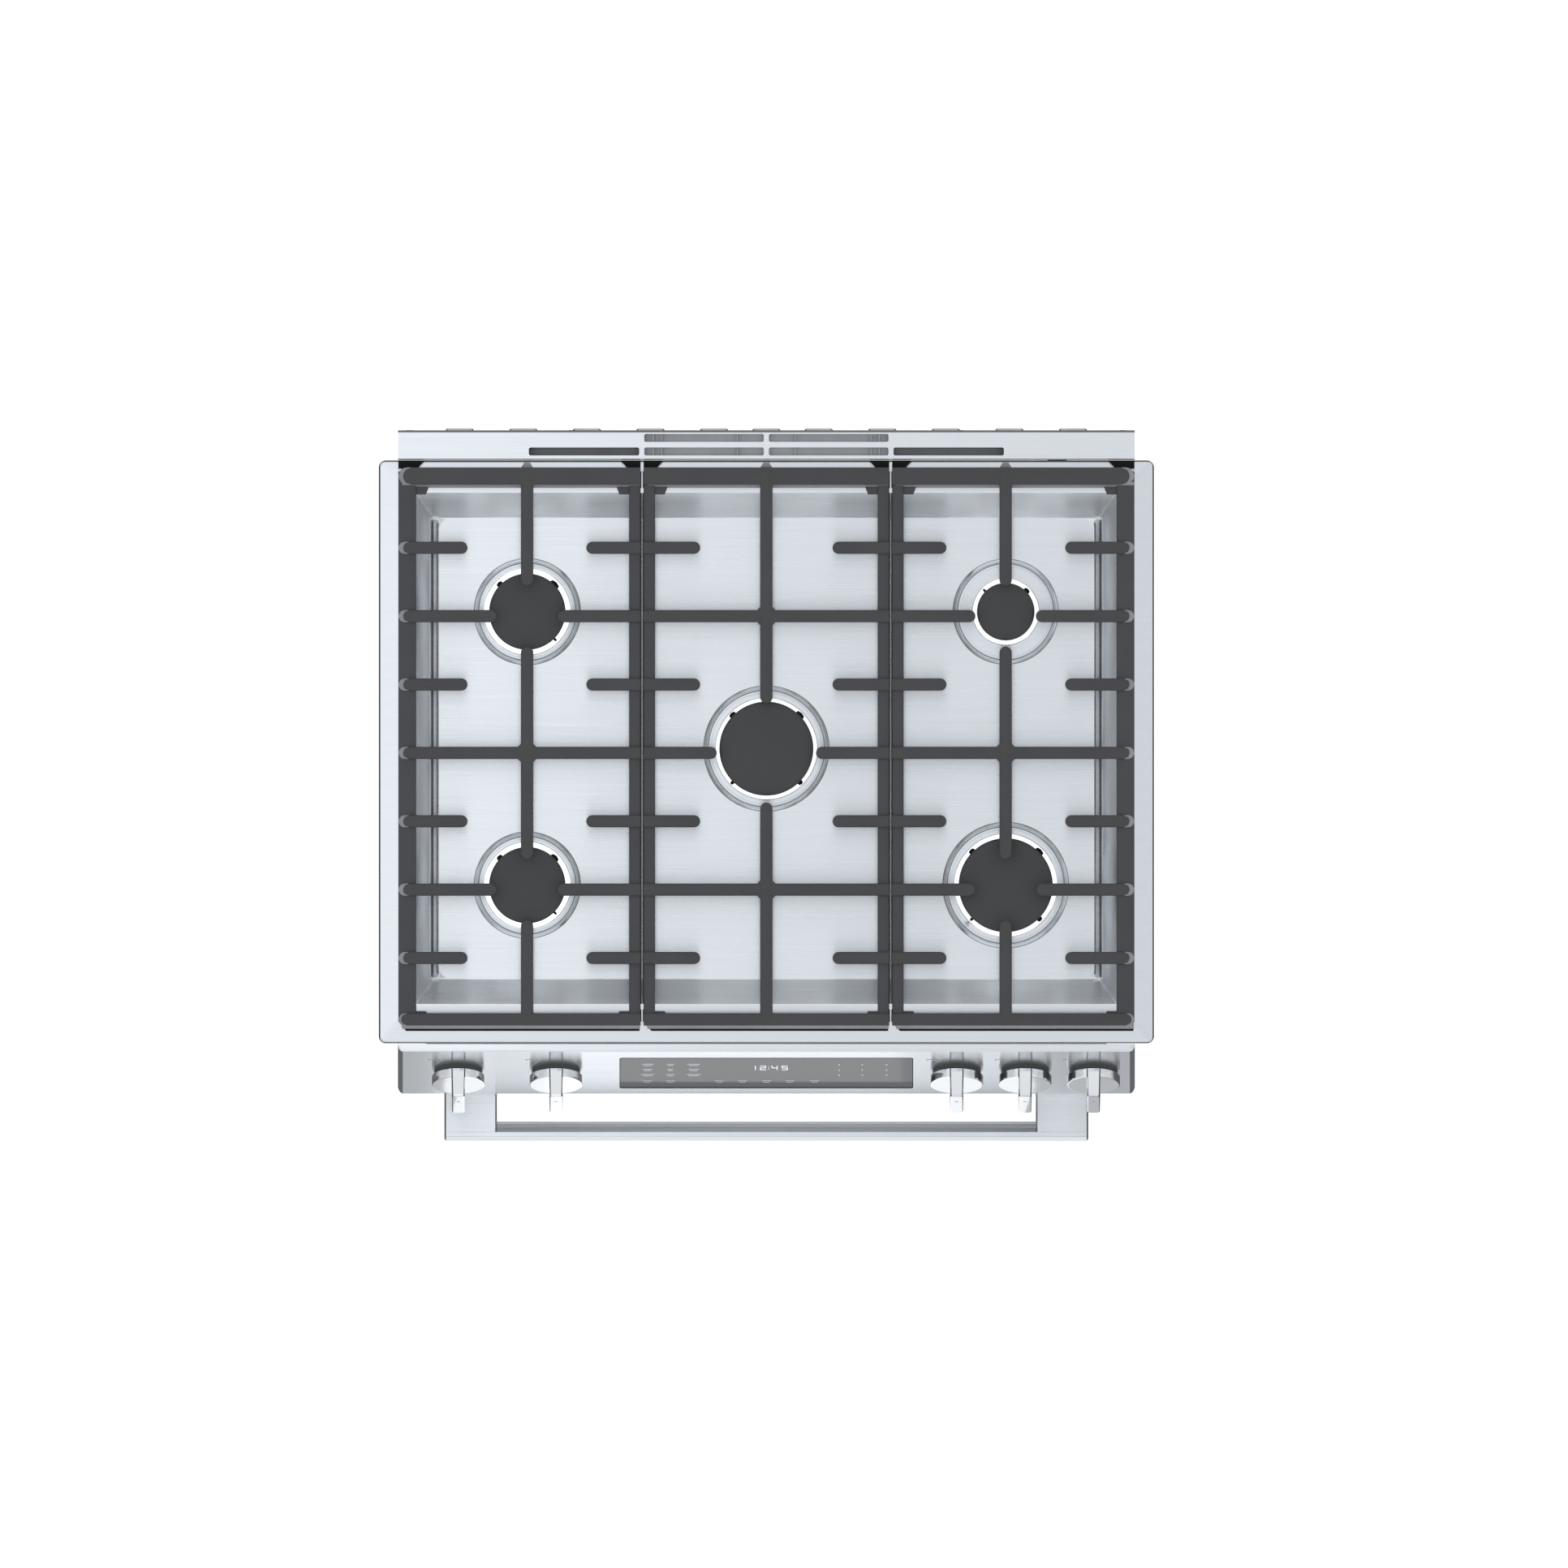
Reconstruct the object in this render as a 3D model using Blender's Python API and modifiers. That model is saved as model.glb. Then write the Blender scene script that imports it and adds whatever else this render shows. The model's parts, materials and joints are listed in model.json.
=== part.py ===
"""A freestanding five-burner gas range with a 30 inch body, as an assembly of separate parts.

Metres, +Z up, front towards -Y. The origin is on the floor, under the centre of the outer box.
"""

import math

import bmesh
import bpy
from mathutils import Matrix, Vector

# ---------------------------------------------------------------- driving dimensions
TOP_HALF_WIDTH = 0.400      # cooktop flange, which laps over the worktop on both sides
BODY_HALF_WIDTH = 0.380
BACK_Y = 0.3656             # back of the vent trim
REAR_PANEL_Y = 0.3640
LOUVRE_Y = 0.3677
HANDLE_FRONT_Y = -0.3677
GRATE_TOP_Z = 0.9271
FLANGE_TOP_Z = 0.9150

SHEET = 0.0015              # sheet metal
THICK_SHEET = 0.0020
GAP = 0.0003                # between neighbours that touch

# cooktop
COOKTOP_FRONT_Y, COOKTOP_BACK_Y = -0.2671, 0.3346
FLANGE = 0.0030
LAP_INNER_X = 0.3815        # the flange's underside is a little higher inside this, over the body
LAP_STEP = 0.0004
TRAY_HALF_WIDTH = 0.3650    # where the tray's wall starts, at the flange
TRAY_FRONT_Y, TRAY_BACK_Y = -0.2277, 0.3015
TRAY_DEPTH = 0.0260
TRAY_SLOPE = 0.0265         # how far the tray's wall runs in, from flange to floor
TRAY_FLOOR_Z = FLANGE_TOP_Z - TRAY_DEPTH
CORNER_RADIUS = 0.0070

# burners: (name, x, y, cap radius, head radius, seat radius)
BURNERS = [
    ("left_rear", -0.2467, 0.1784, 0.0394, 0.0452, 0.0495),
    ("left_front", -0.2467, -0.1038, 0.0394, 0.0452, 0.0495),
    ("centre", 0.0, 0.0371, 0.0485, 0.0530, 0.0593),
    ("right_rear", 0.2470, 0.1784, 0.0297, 0.0348, 0.0489),
    ("right_front", 0.2470, -0.1038, 0.0485, 0.0536, 0.0595),
]
SEAT_RISE = 0.0020
HEAD_TOP_Z = 0.9032
CAP_TOP_Z = 0.9085
THROAT_RADIUS = 0.0160
THROAT_BOTTOM_Z = 0.8560
CAP_LIP = 0.0040            # the cap's stub that drops into its head

# grates
GRATE_FOOT_Z = FLANGE_TOP_Z + GAP
GRATE_BAR_BOTTOM_Z = 0.9165
GRATE_RING_TOP_Z = 0.9240
BAR = 0.0127                # bar width
BAR_PITCH = 0.07055
MIDDLE_BAR_Y = 0.0327
GRATE_FRONT_Y, GRATE_BACK_Y = -0.2488, 0.3274
REAR_BAR = 0.0180
SIDE_GRATE_OUTER_X, SIDE_GRATE_INNER_X = 0.3798, 0.1298
SIDE_GRATE_MIDDLE_X = 0.2469
CENTRE_GRATE_X = 0.1267
OUTER_RAIL, INNER_RAIL = 0.0185, 0.0118
FOOT_FRONT_REACH, FOOT_BACK_REACH = 0.0054, 0.0066    # how far the feet show past the end bars
SIDE_GRATE_TIPS = (0.1859, 0.3083)                   # where its short fingers end
SIDE_REACH, CENTRE_REACH = 0.0312, 0.0515            # from a burner's centre to the long fingers' tips
CENTRE_GRATE_TIP = 0.0682

# control panel: its face leans back by PANEL_TILT from vertical
PANEL_TILT = math.radians(19.2)
PANEL_TOP_Y, PANEL_TOP_Z = -0.2762, 0.9078
PANEL_BOTTOM_Y = -0.3189
PANEL_BACK_Y = -0.2676
PANEL_HALF_WIDTH = 0.3803
PANEL_BOTTOM_Z = PANEL_TOP_Z - (PANEL_TOP_Y - PANEL_BOTTOM_Y) / math.tan(PANEL_TILT)
GLASS_HALF_WIDTH, GLASS_HALF_HEIGHT, GLASS_THICKNESS = 0.1511, 0.0471, 0.0020

# knobs: x positions, and how far up the face from its middle
KNOB_X = {"1": -0.3178, "2": -0.2170, "3": 0.1964, "4": 0.2670, "5": 0.3376}
KNOB_UP_FACE = 0.0053
KNOB_RADIUS = 0.0273
KNOB_SKIRT_RADIUS = 0.0220
KNOB_SKIRT_LOW, KNOB_DISC_LOW, KNOB_DISC_HIGH, KNOB_TOP = 0.0040, 0.0061, 0.0143, 0.0367
BLADE_HALF_WIDTH, BLADE_TIP_HALF_WIDTH, BLADE_HALF_LENGTH = 0.0071, 0.0063, 0.0262
STEM_RADIUS, STEM_HOLE_RADIUS = 0.0038, 0.0040
STEM_LOW, STEM_HIGH, KNOB_BORE_TOP = -0.0300, 0.0170, 0.0220
VALVE_FRONT, VALVE_BACK = -0.0060, -0.0355
MANIFOLD_DEPTH, MANIFOLD_RADIUS = 0.0460, 0.0100

# oven cavity
CAVITY_HALF_WIDTH = 0.3050
CAVITY_BACK_Y, CAVITY_FRONT_Y = 0.2050, -0.2550
CAVITY_FLOOR_Z, CAVITY_TOP_Z = 0.2620, 0.7450
MOUTH_BOTTOM_Z = 0.3050
FRONT_FLANGE_Y = -0.2705
FRAME_BOTTOM_Z, FRAME_TOP_Z = 0.2920, 0.7820
RIB = 0.0060
RIB_DEPTH = 0.0120
RIB_LEVELS = [0.345 + 0.070 * i for i in range(5)]
RACK_LEVELS = {"lower": RIB_LEVELS[1], "upper": RIB_LEVELS[3]}
FAN_Z = 0.5250

# door
DOOR_FRONT_Y, DOOR_BACK_Y = -0.3165, -0.2765
DOOR_BOTTOM_Z, DOOR_TOP_Z = 0.2420, 0.7780
DOOR_HALF_WIDTH = 0.3785
HINGE_Y, HINGE_Z = -0.2965, 0.2680
HINGE_X = 0.3450
DOOR_SPLIT_Y = HINGE_Y - 0.0005    # between the outer and the inner pan
HANDLE_TOP_Z = 0.7474
HANDLE_HALF_WIDTH = 0.3323
BRACKET_WIDTH = 0.0543

# drawer and base
DRAWER_BOTTOM_Z, DRAWER_TOP_Z = 0.0820, 0.2360
DRAWER_FRONT_DEPTH = 0.0380
DRAWER_LIP_Y, DRAWER_GRIP_Z = -0.3090, 0.2250     # the finger grip behind the drawer's top edge
BASE_Z = 0.0700
FRAME_Y = -0.2590            # the front frame, behind the hinge plates
RAIL_TOP_Z = 0.1500
LEG_POSITIONS = {
    "front_left": (-0.330, -0.215),
    "front_right": (0.330, -0.215),
    "rear_left": (-0.330, 0.300),
    "rear_right": (0.330, 0.300),
}


# ---------------------------------------------------------------- scene and materials
for old in list(bpy.data.objects):
    bpy.data.objects.remove(old)

PARTS = bpy.data.collections.new("gas_range")
HELPERS = bpy.data.collections.new("cutters")
bpy.context.scene.collection.children.link(PARTS)
bpy.context.scene.collection.children.link(HELPERS)


def material(name, colour, metallic, roughness):
    made = bpy.data.materials.new(name)
    made.use_nodes = True
    shader = made.node_tree.nodes["Principled BSDF"]
    shader.inputs["Base Color"].default_value = (*colour, 1.0)
    shader.inputs["Metallic"].default_value = metallic
    shader.inputs["Roughness"].default_value = roughness
    return made


STEEL = material("brushed_stainless", (0.72, 0.74, 0.77), 1.0, 0.32)
CHROME = material("satin_chrome", (0.82, 0.83, 0.85), 1.0, 0.15)
CAST_IRON = material("cast_iron", (0.065, 0.065, 0.063), 0.0, 0.60)
CAP_ENAMEL = material("black_enamel", (0.058, 0.058, 0.056), 0.0, 0.50)
ALUMINIUM = material("burner_aluminium", (0.86, 0.86, 0.86), 1.0, 0.35)
PANEL_GLASS = material("display_glass", (0.10, 0.10, 0.11), 0.0, 0.08)
DOOR_GLASS = material("door_glass", (0.02, 0.02, 0.02), 0.0, 0.05)
OVEN_ENAMEL = material("oven_enamel", (0.035, 0.038, 0.05), 0.0, 0.25)
GALVANISED = material("galvanised_sheet", (0.55, 0.56, 0.58), 1.0, 0.45)
GREY_PAINT = material("grey_paint", (0.30, 0.31, 0.32), 0.0, 0.45)
BLACK_PLASTIC = material("black_plastic", (0.03, 0.03, 0.03), 0.0, 0.45)
BRASS = material("brass", (0.75, 0.58, 0.28), 1.0, 0.35)
ZINC = material("zinc_steel", (0.60, 0.61, 0.62), 1.0, 0.35)


# ---------------------------------------------------------------- shapes
def add_object(name, mesh, mat=None):
    """Links a mesh as a part if it has a material, and as a hidden helper if not."""
    obj = bpy.data.objects.new(name, mesh)
    if mat is None:
        HELPERS.objects.link(obj)
        obj.hide_render = True
        obj.display_type = "WIRE"
    else:
        PARTS.objects.link(obj)
        mesh.materials.append(mat)
    return obj


def from_bmesh(name, bm, mat=None):
    mesh = bpy.data.meshes.new(name)
    bm.to_mesh(mesh)
    bm.free()
    return add_object(name, mesh, mat)


def cube(low, high):
    """A bmesh box between two opposite corners."""
    low, high = Vector(low), Vector(high)
    bm = bmesh.new()
    stretch = Matrix.Diagonal((*(high - low), 1.0))
    bmesh.ops.create_cube(bm, size=1.0, matrix=Matrix.Translation((low + high) / 2) @ stretch)
    return bm


def box(name, low, high, mat=None):
    return from_bmesh(name, cube(low, high), mat)


def frustum(name, low, high, inset, mat=None):
    """A box whose bottom face is smaller than its top by inset on each side."""
    bm = cube(low, high)
    middle = (Vector(low) + Vector(high)) / 2
    for vert in bm.verts:
        if vert.co.z < middle.z:
            vert.co.x -= math.copysign(inset, vert.co.x - middle.x)
            vert.co.y -= math.copysign(inset, vert.co.y - middle.y)
    return from_bmesh(name, bm, mat)


def rounded_plate(name, low, high, radius, mat=None):
    """A box with its four vertical edges rounded."""
    bm = cube(low, high)
    upright = [e for e in bm.edges if abs(e.verts[0].co.z - e.verts[1].co.z) > 1e-6]
    bmesh.ops.bevel(bm, geom=upright, offset=radius, segments=4, profile=0.5, affect="EDGES")
    return from_bmesh(name, bm, mat)


def bar(name, start, end, low_z=GRATE_BAR_BOTTOM_Z, high_z=GRATE_TOP_Z, round_tips=()):
    """A grate's bar between two points in plan. A tip listed in round_tips is rounded in plan."""
    start, end = Vector((*start, 0)), Vector((*end, 0))
    along = (end - start).normalized()
    across = Vector((-along.y, along.x, 0)) * BAR / 2
    corners = [start - across, start + across, end - across, end + across]
    low = Vector((min(c.x for c in corners), min(c.y for c in corners), low_z))
    high = Vector((max(c.x for c in corners), max(c.y for c in corners), high_z))
    bm = cube(low, high)
    rounded = [{"start": start, "end": end}[tip] for tip in round_tips]
    corner_edges = [
        e
        for e in bm.edges
        if abs(e.verts[0].co.z - e.verts[1].co.z) > 1e-6
        and any(abs((e.verts[0].co - tip).dot(along)) < 1e-5 for tip in rounded)
    ]
    if corner_edges:
        radius = 0.46 * BAR
        bmesh.ops.bevel(bm, geom=corner_edges, offset=radius, segments=3, profile=0.5, affect="EDGES")
    return from_bmesh(name, bm)


def rod(name, start, end, radius, mat=None, sides=16, end_radius=None):
    """A cylinder, or a cone if end_radius is given, between two points."""
    start, end = Vector(start), Vector(end)
    axis = end - start
    turn = axis.to_track_quat("Z", "Y").to_matrix().to_4x4()
    place = Matrix.Translation((start + end) / 2) @ turn
    bm = bmesh.new()
    bmesh.ops.create_cone(
        bm,
        cap_ends=True,
        segments=sides,
        radius1=radius,
        radius2=radius if end_radius is None else end_radius,
        depth=axis.length,
        matrix=place,
    )
    obj = from_bmesh(name, bm, mat)
    obj.data.shade_smooth()
    obj.data.set_sharp_from_angle(angle=math.radians(35))
    return obj


def turned(name, profile, mat, steps=24):
    """A solid of revolution about local Z. The profile is (radius, z), down its outer side."""
    mesh = bpy.data.meshes.new(name)
    edges = [(i, i + 1) for i in range(len(profile) - 1)]
    mesh.from_pydata([(r, 0.0, z) for r, z in profile], edges, [])
    obj = add_object(name, mesh, mat)
    screw = obj.modifiers.new("turn", "SCREW")
    screw.steps = screw.render_steps = steps
    screw.use_merge_vertices = True
    screw.merge_threshold = 0.00005
    screw.use_smooth_shade = True
    return obj


YZ_TO_X = Matrix(((0, 0, 1, 0), (1, 0, 0, 0), (0, 1, 0, 0), (0, 0, 0, 1)))


def prism(name, profile, low_x, high_x, mat=None):
    """A closed profile of (y, z) points, drawn out along X between low_x and high_x."""
    curve = bpy.data.curves.new(name, "CURVE")
    curve.dimensions = "2D"
    curve.fill_mode = "BOTH"
    curve.extrude = (high_x - low_x) / 2
    spline = curve.splines.new("POLY")
    spline.points.add(len(profile) - 1)
    for point, (y, z) in zip(spline.points, profile):
        point.co = (y, z, 0.0, 1.0)
    spline.use_cyclic_u = True
    drawn = bpy.data.objects.new(name + "_outline", curve)
    HELPERS.objects.link(drawn)
    drawn.matrix_world = Matrix.Translation(((low_x + high_x) / 2, 0, 0)) @ YZ_TO_X
    obj = add_object(name, welded_mesh(drawn), mat)
    obj.matrix_world = drawn.matrix_world
    bpy.data.objects.remove(drawn)
    return obj


def welded_mesh(drawn):
    """The mesh of a curve object, with its caps joined to its sides."""
    bpy.context.view_layer.update()
    graph = bpy.context.evaluated_depsgraph_get()
    mesh = bpy.data.meshes.new_from_object(drawn.evaluated_get(graph))
    mesh.materials.clear()
    bm = bmesh.new()
    bm.from_mesh(mesh)
    bmesh.ops.remove_doubles(bm, verts=bm.verts, dist=1e-6)
    bmesh.ops.recalc_face_normals(bm, faces=bm.faces)
    bm.to_mesh(mesh)
    bm.free()
    return mesh


def tube(name, points, radius, mat, resolution=2):
    """A pipe or wire along points."""
    curve = bpy.data.curves.new(name, "CURVE")
    curve.dimensions = "3D"
    curve.bevel_depth = radius
    curve.bevel_resolution = resolution
    curve.use_fill_caps = True
    spline = curve.splines.new("POLY")
    spline.points.add(len(points) - 1)
    for point, co in zip(spline.points, points):
        point.co = (*co, 1.0)
    obj = bpy.data.objects.new(name, curve)
    PARTS.objects.link(obj)
    curve.materials.append(mat)
    return obj


def bent(corners, radius, steps=3):
    """The corners of a pipe run, with each inner corner replaced by an arc of that radius."""
    corners = [Vector(c) for c in corners]
    points = [corners[0]]
    for before, corner, after in zip(corners, corners[1:], corners[2:]):
        into, out = (before - corner).normalized(), (after - corner).normalized()
        half = into.angle(out) / 2
        reach = radius / math.tan(half)
        centre = corner + (into + out).normalized() * radius / math.sin(half)
        first, last = corner + into * reach - centre, corner + out * reach - centre
        points += [centre + first.slerp(last, i / steps) * radius for i in range(steps + 1)]
    return points + [corners[-1]]


def boolean(obj, others, operation):
    """Cuts or joins all the others in one modifier. They are helpers."""
    group = bpy.data.collections.new(f"{obj.name}_{operation.lower()}_{len(obj.modifiers)}")
    HELPERS.children.link(group)
    for other in others:
        group.objects.link(other)
    modifier = obj.modifiers.new(operation.lower(), "BOOLEAN")
    modifier.operation = operation
    modifier.operand_type = "COLLECTION"
    modifier.collection = group


def cut(obj, *cutters):
    boolean(obj, cutters, "DIFFERENCE")


def join(obj, *others):
    boolean(obj, others, "UNION")


def pivot(name, location, rotation=None):
    """An empty on a joint's axis. What moves with that joint is parented to it."""
    empty = bpy.data.objects.new(name, None)
    PARTS.objects.link(empty)
    empty.matrix_world = Matrix.Translation(location) @ (rotation or Matrix())
    return empty


def hang(empty, *objects):
    """Parents objects that are already in place."""
    bpy.context.view_layer.update()
    for obj in objects:
        world = obj.matrix_world.copy()
        obj.parent = empty
        obj.matrix_world = world


# ---------------------------------------------------------------- chassis
def make_base():
    """The bottom pan, with the drawer's rails, and a front frame that carries the door's hinges."""
    front, back = FRAME_Y, 0.330
    floor = box("base_frame", (-0.372, front, BASE_Z), (0.372, back, BASE_Z + SHEET), GALVANISED)
    walls = [
        box("base_rear", (-0.372, back - 0.002, BASE_Z), (0.372, back, 0.230)),
        box("base_front", (-0.372, front, BASE_Z), (0.372, front + SHEET, 0.080)),
        box("cross_rail", (-0.372, front, 0.240), (0.372, front + SHEET, 0.291)),
    ]
    for side in (-1, 1):
        inner, outer = sorted((side * 0.352, side * 0.354))
        walls.append(box("drawer_rail", (inner, front, BASE_Z), (outer, back, RAIL_TOP_Z)))
        inner, outer = sorted((side * 0.362, side * 0.372))
        walls.append(box("post", (inner, front, BASE_Z), (outer, front + SHEET, 0.291)))
    join(floor, *walls)
    holes = [
        rod("leg_hole", (x, y, 0.05), (x, y, 0.09), 0.0064, sides=12)
        for x, y in LEG_POSITIONS.values()
    ]
    cut(floor, *holes)


def make_legs():
    profile = [(0, 0.0760), (0.006, 0.0760), (0.006, 0.0120), (0.018, 0.0080), (0.018, 0), (0, 0)]
    for place, (x, y) in LEG_POSITIONS.items():
        leg = turned(f"leveling_leg_{place}", profile, ZINC, steps=16)
        leg.location = (x, y, 0)


def make_side_panels():
    """Each is a sheet with returns at its edges, notched where the door's lower corner swings past."""
    for name, side in (("left", -1), ("right", 1)):
        inner, outer = sorted((side * 0.362, side * BODY_HALF_WIDTH))
        low, high = (inner, -0.2670, BASE_Z), (outer, 0.3340, 0.9115)
        panel = box(f"side_panel_{name}", low, high, GREY_PAINT)
        near, far = sorted((side * 0.350, side * (BODY_HALF_WIDTH - 0.0012)))
        cut(
            panel,
            box("side_panel_inside", (near, -0.2658, 0.0), (far, 0.3328, 1.0)),
            box("door_notch", (-0.4, -0.28, 0.0), (0.4, -0.2610, FRAME_BOTTOM_Z)),
        )


def make_rear_panel():
    """A shallow pan over the back, with a row of pressed louvres at its top."""
    low, high = Vector((-0.3785, 0.3349, 0.0750)), Vector((0.3785, REAR_PANEL_Y, 0.8795))
    panel = box("rear_panel", low, high, GALVANISED)
    inset = Vector((0.0012, 0, 0.0012))
    front, back = Vector((0, 0.01, 0)), Vector((0, 0.0012, 0))
    inside = box("rear_inside", low + inset - front, high - inset - back)
    louvres = []
    for x in [0.0] + [side * (0.054 + 0.0656 * i) for i in range(5) for side in (-1, 1)]:
        bm = cube((x - 0.0155, REAR_PANEL_Y - 0.0006, 0.790), (x + 0.0155, LOUVRE_Y, 0.870))
        for vert in bm.verts:
            if vert.co.y > REAR_PANEL_Y:
                vert.co.x = x + math.copysign(0.0113, vert.co.x - x)
                vert.co.z += math.copysign(0.004, 0.83 - vert.co.z)
        louvres.append(from_bmesh("louvre", bm))
    cut(panel, inside)
    join(panel, *louvres)
    inlet = rod("inlet_hole", (0.300, 0.35, 0.300), (0.300, 0.38, 0.300), 0.0180, sides=16)
    cord_hole = rod("terminal_hole", (-0.300, 0.35, 0.200), (-0.300, 0.38, 0.200), 0.0140, sides=16)
    cut(panel, inlet, cord_hole)


# ---------------------------------------------------------------- cooktop
def make_cooktop():
    """The pressed top: a flange with a sloping tray, and a raised seat around each burner hole."""
    top = rounded_plate(
        "cooktop",
        (-TOP_HALF_WIDTH, COOKTOP_FRONT_Y, FLANGE_TOP_Z - FLANGE),
        (TOP_HALF_WIDTH, COOKTOP_BACK_Y, FLANGE_TOP_Z),
        CORNER_RADIUS,
        STEEL,
    )
    relief = box(
        "body_relief",
        (-LAP_INNER_X, COOKTOP_FRONT_Y - 0.01, FLANGE_TOP_Z - FLANGE - 0.001),
        (LAP_INNER_X, COOKTOP_BACK_Y + 0.01, FLANGE_TOP_Z - FLANGE + LAP_STEP),
    )
    cut(top, relief)
    out = THICK_SHEET
    under = frustum(
        "tray_outside",
        (-TRAY_HALF_WIDTH - out, TRAY_FRONT_Y - out, TRAY_FLOOR_Z - out),
        (TRAY_HALF_WIDTH + out, TRAY_BACK_Y + out, FLANGE_TOP_Z - 0.0008),
        TRAY_SLOPE,
    )
    join(top, under)
    rise = 0.010            # the cutter runs on past the flange at the same slope
    inside = frustum(
        "tray_inside",
        (-TRAY_HALF_WIDTH - rise, TRAY_FRONT_Y - rise, TRAY_FLOOR_Z),
        (TRAY_HALF_WIDTH + rise, TRAY_BACK_Y + rise, FLANGE_TOP_Z + rise * TRAY_DEPTH / TRAY_SLOPE),
        TRAY_SLOPE + rise,
    )
    cut(top, inside)
    seats = [
        rod(
            "seat",
            (x, y, TRAY_FLOOR_Z - 0.001),
            (x, y, TRAY_FLOOR_Z + SEAT_RISE),
            seat + 0.0045,
            sides=24,
            end_radius=seat,
        )
        for _, x, y, _, _, seat in BURNERS
    ]
    join(top, *seats)
    holes = [
        rod("throat_hole", (x, y, 0.87), (x, y, 0.92), THROAT_RADIUS + 0.001, sides=16)
        for _, x, y, _, _, _ in BURNERS
    ]
    cut(top, *holes)


def make_vent_trim():
    """A channel behind the cooktop with three rows of slots for the oven's exhaust."""
    low = Vector((-0.3802, COOKTOP_BACK_Y + GAP, 0.8800))
    high = Vector((0.3802, BACK_Y, 0.9195))
    trim = box("vent_trim", low, high, STEEL)
    wall = Vector((SHEET, SHEET, SHEET))
    cut(trim, box("trim_inside", low + wall - Vector((0, 0, 0.02)), high - wall))
    slots = []
    for side in (-1, 1):
        near, far = sorted((side * 0.1316, side * 0.2452))
        slots.append(box("side_slot", (near, 0.3397, 0.90), (far, 0.3480, 0.93)))
        near, far = sorted((side * 0.0026, side * 0.1260))
        for low_y, high_y in ((0.3397, 0.3480), (0.3535, 0.3619)):
            slots.append(box("centre_slot", (near, low_y, 0.90), (far, high_y, 0.93)))
    cut(trim, *slots)


def make_burners():
    """A turned head in each hole, and a loose cap on it."""
    for name, x, y, cap, head, seat in BURNERS:
        base_z = TRAY_FLOOR_Z + SEAT_RISE + GAP
        body = turned(
            f"burner_head_{name}",
            [
                (THROAT_RADIUS - 0.004, HEAD_TOP_Z),
                (cap - 0.003, HEAD_TOP_Z),
                (cap - 0.002, base_z + 0.0055),
                (head, base_z + 0.0045),
                (head, base_z),
                (THROAT_RADIUS, base_z),
                (THROAT_RADIUS, THROAT_BOTTOM_Z),
                (THROAT_RADIUS - 0.004, THROAT_BOTTOM_Z),
                (THROAT_RADIUS - 0.004, HEAD_TOP_Z),
            ],
            ALUMINIUM,
        )
        body.location = (x, y, 0)
        lid = turned(
            f"burner_cap_{name}",
            [
                (0, CAP_TOP_Z),
                (cap - 0.002, CAP_TOP_Z),
                (cap, CAP_TOP_Z - 0.0015),
                (cap, HEAD_TOP_Z + GAP),
                (THROAT_RADIUS - 0.005, HEAD_TOP_Z + GAP),
                (THROAT_RADIUS - 0.005, HEAD_TOP_Z - CAP_LIP),
                (0, HEAD_TOP_Z - CAP_LIP),
            ],
            CAP_ENAMEL,
        )
        lid.location = (x, y, 0)


# ---------------------------------------------------------------- grates
def full_bars(inner_x, outer_x, y, gap_x=None, reach=0.0):
    """A bar across a grate at y, or two that stop short of a burner at gap_x by reach."""
    if gap_x is None:
        return [bar("bar", (outer_x, y), (inner_x, y))]
    towards = math.copysign(reach, outer_x - gap_x)
    ends = ((outer_x, gap_x + towards), (inner_x, gap_x - towards))
    return [bar("finger", (start, y), (tip, y), round_tips=["end"]) for start, tip in ends]


def short_fingers(inner_x, outer_x, inner_tip, outer_tip):
    """The four short fingers on each side of a grate."""
    made = []
    for step in (-3, -1, 1, 3):
        y = MIDDLE_BAR_Y + step * BAR_PITCH
        for start, tip in ((outer_x, outer_tip), (inner_x, inner_tip)):
            made.append(bar("short_finger", (start, y), (tip, y), round_tips=["end"]))
    return made


def ring(low_x, high_x, low_rail, high_rail):
    """The two lower side rails and the feet at the four corners."""
    foot_spans = (
        (GRATE_FRONT_Y - FOOT_FRONT_REACH, GRATE_FRONT_Y + 0.0135),
        (GRATE_BACK_Y - 0.0229, GRATE_BACK_Y + FOOT_BACK_REACH),
    )
    made = []
    for width, x, into in ((low_rail, low_x, 1), (high_rail, high_x, -1)):
        near, far = sorted((x, x + into * width))
        low, high = (near, GRATE_FRONT_Y, GRATE_BAR_BOTTOM_Z), (far, GRATE_BACK_Y, GRATE_RING_TOP_Z)
        made.append(box("rail", low, high))
        near, far = sorted((x + into * 0.0006, x + into * (width + 0.0090)))
        for low_y, high_y in foot_spans:
            low, high = (near, low_y, GRATE_FOOT_Z), (far, high_y, GRATE_BAR_BOTTOM_Z + 0.0020)
            made.append(box("foot", low, high))
    return made


def end_bars(name, low_x, high_x):
    """The front and rear bars. The rear one is the node's own mesh."""
    rear = box(
        name,
        (low_x, GRATE_BACK_Y - REAR_BAR, GRATE_BAR_BOTTOM_Z),
        (high_x, GRATE_BACK_Y, GRATE_TOP_Z),
        CAST_IRON,
    )
    front = box(
        "front_bar",
        (low_x, GRATE_FRONT_Y, GRATE_BAR_BOTTOM_Z),
        (high_x, GRATE_FRONT_Y + BAR, GRATE_TOP_Z),
    )
    return rear, front


def long_fingers(x, breaks):
    """Bars along Y at x, from the back to the front, broken at each (centre, reach)."""
    made = []
    start, tips = GRATE_BACK_Y - 0.002, []
    for centre, reach in breaks:
        made.append(bar("long_finger", (x, start), (x, centre + reach), round_tips=[*tips, "end"]))
        start, tips = centre - reach, ["start"]
    made.append(bar("long_finger", (x, start), (x, GRATE_FRONT_Y + 0.002), round_tips=tips))
    return made


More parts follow.
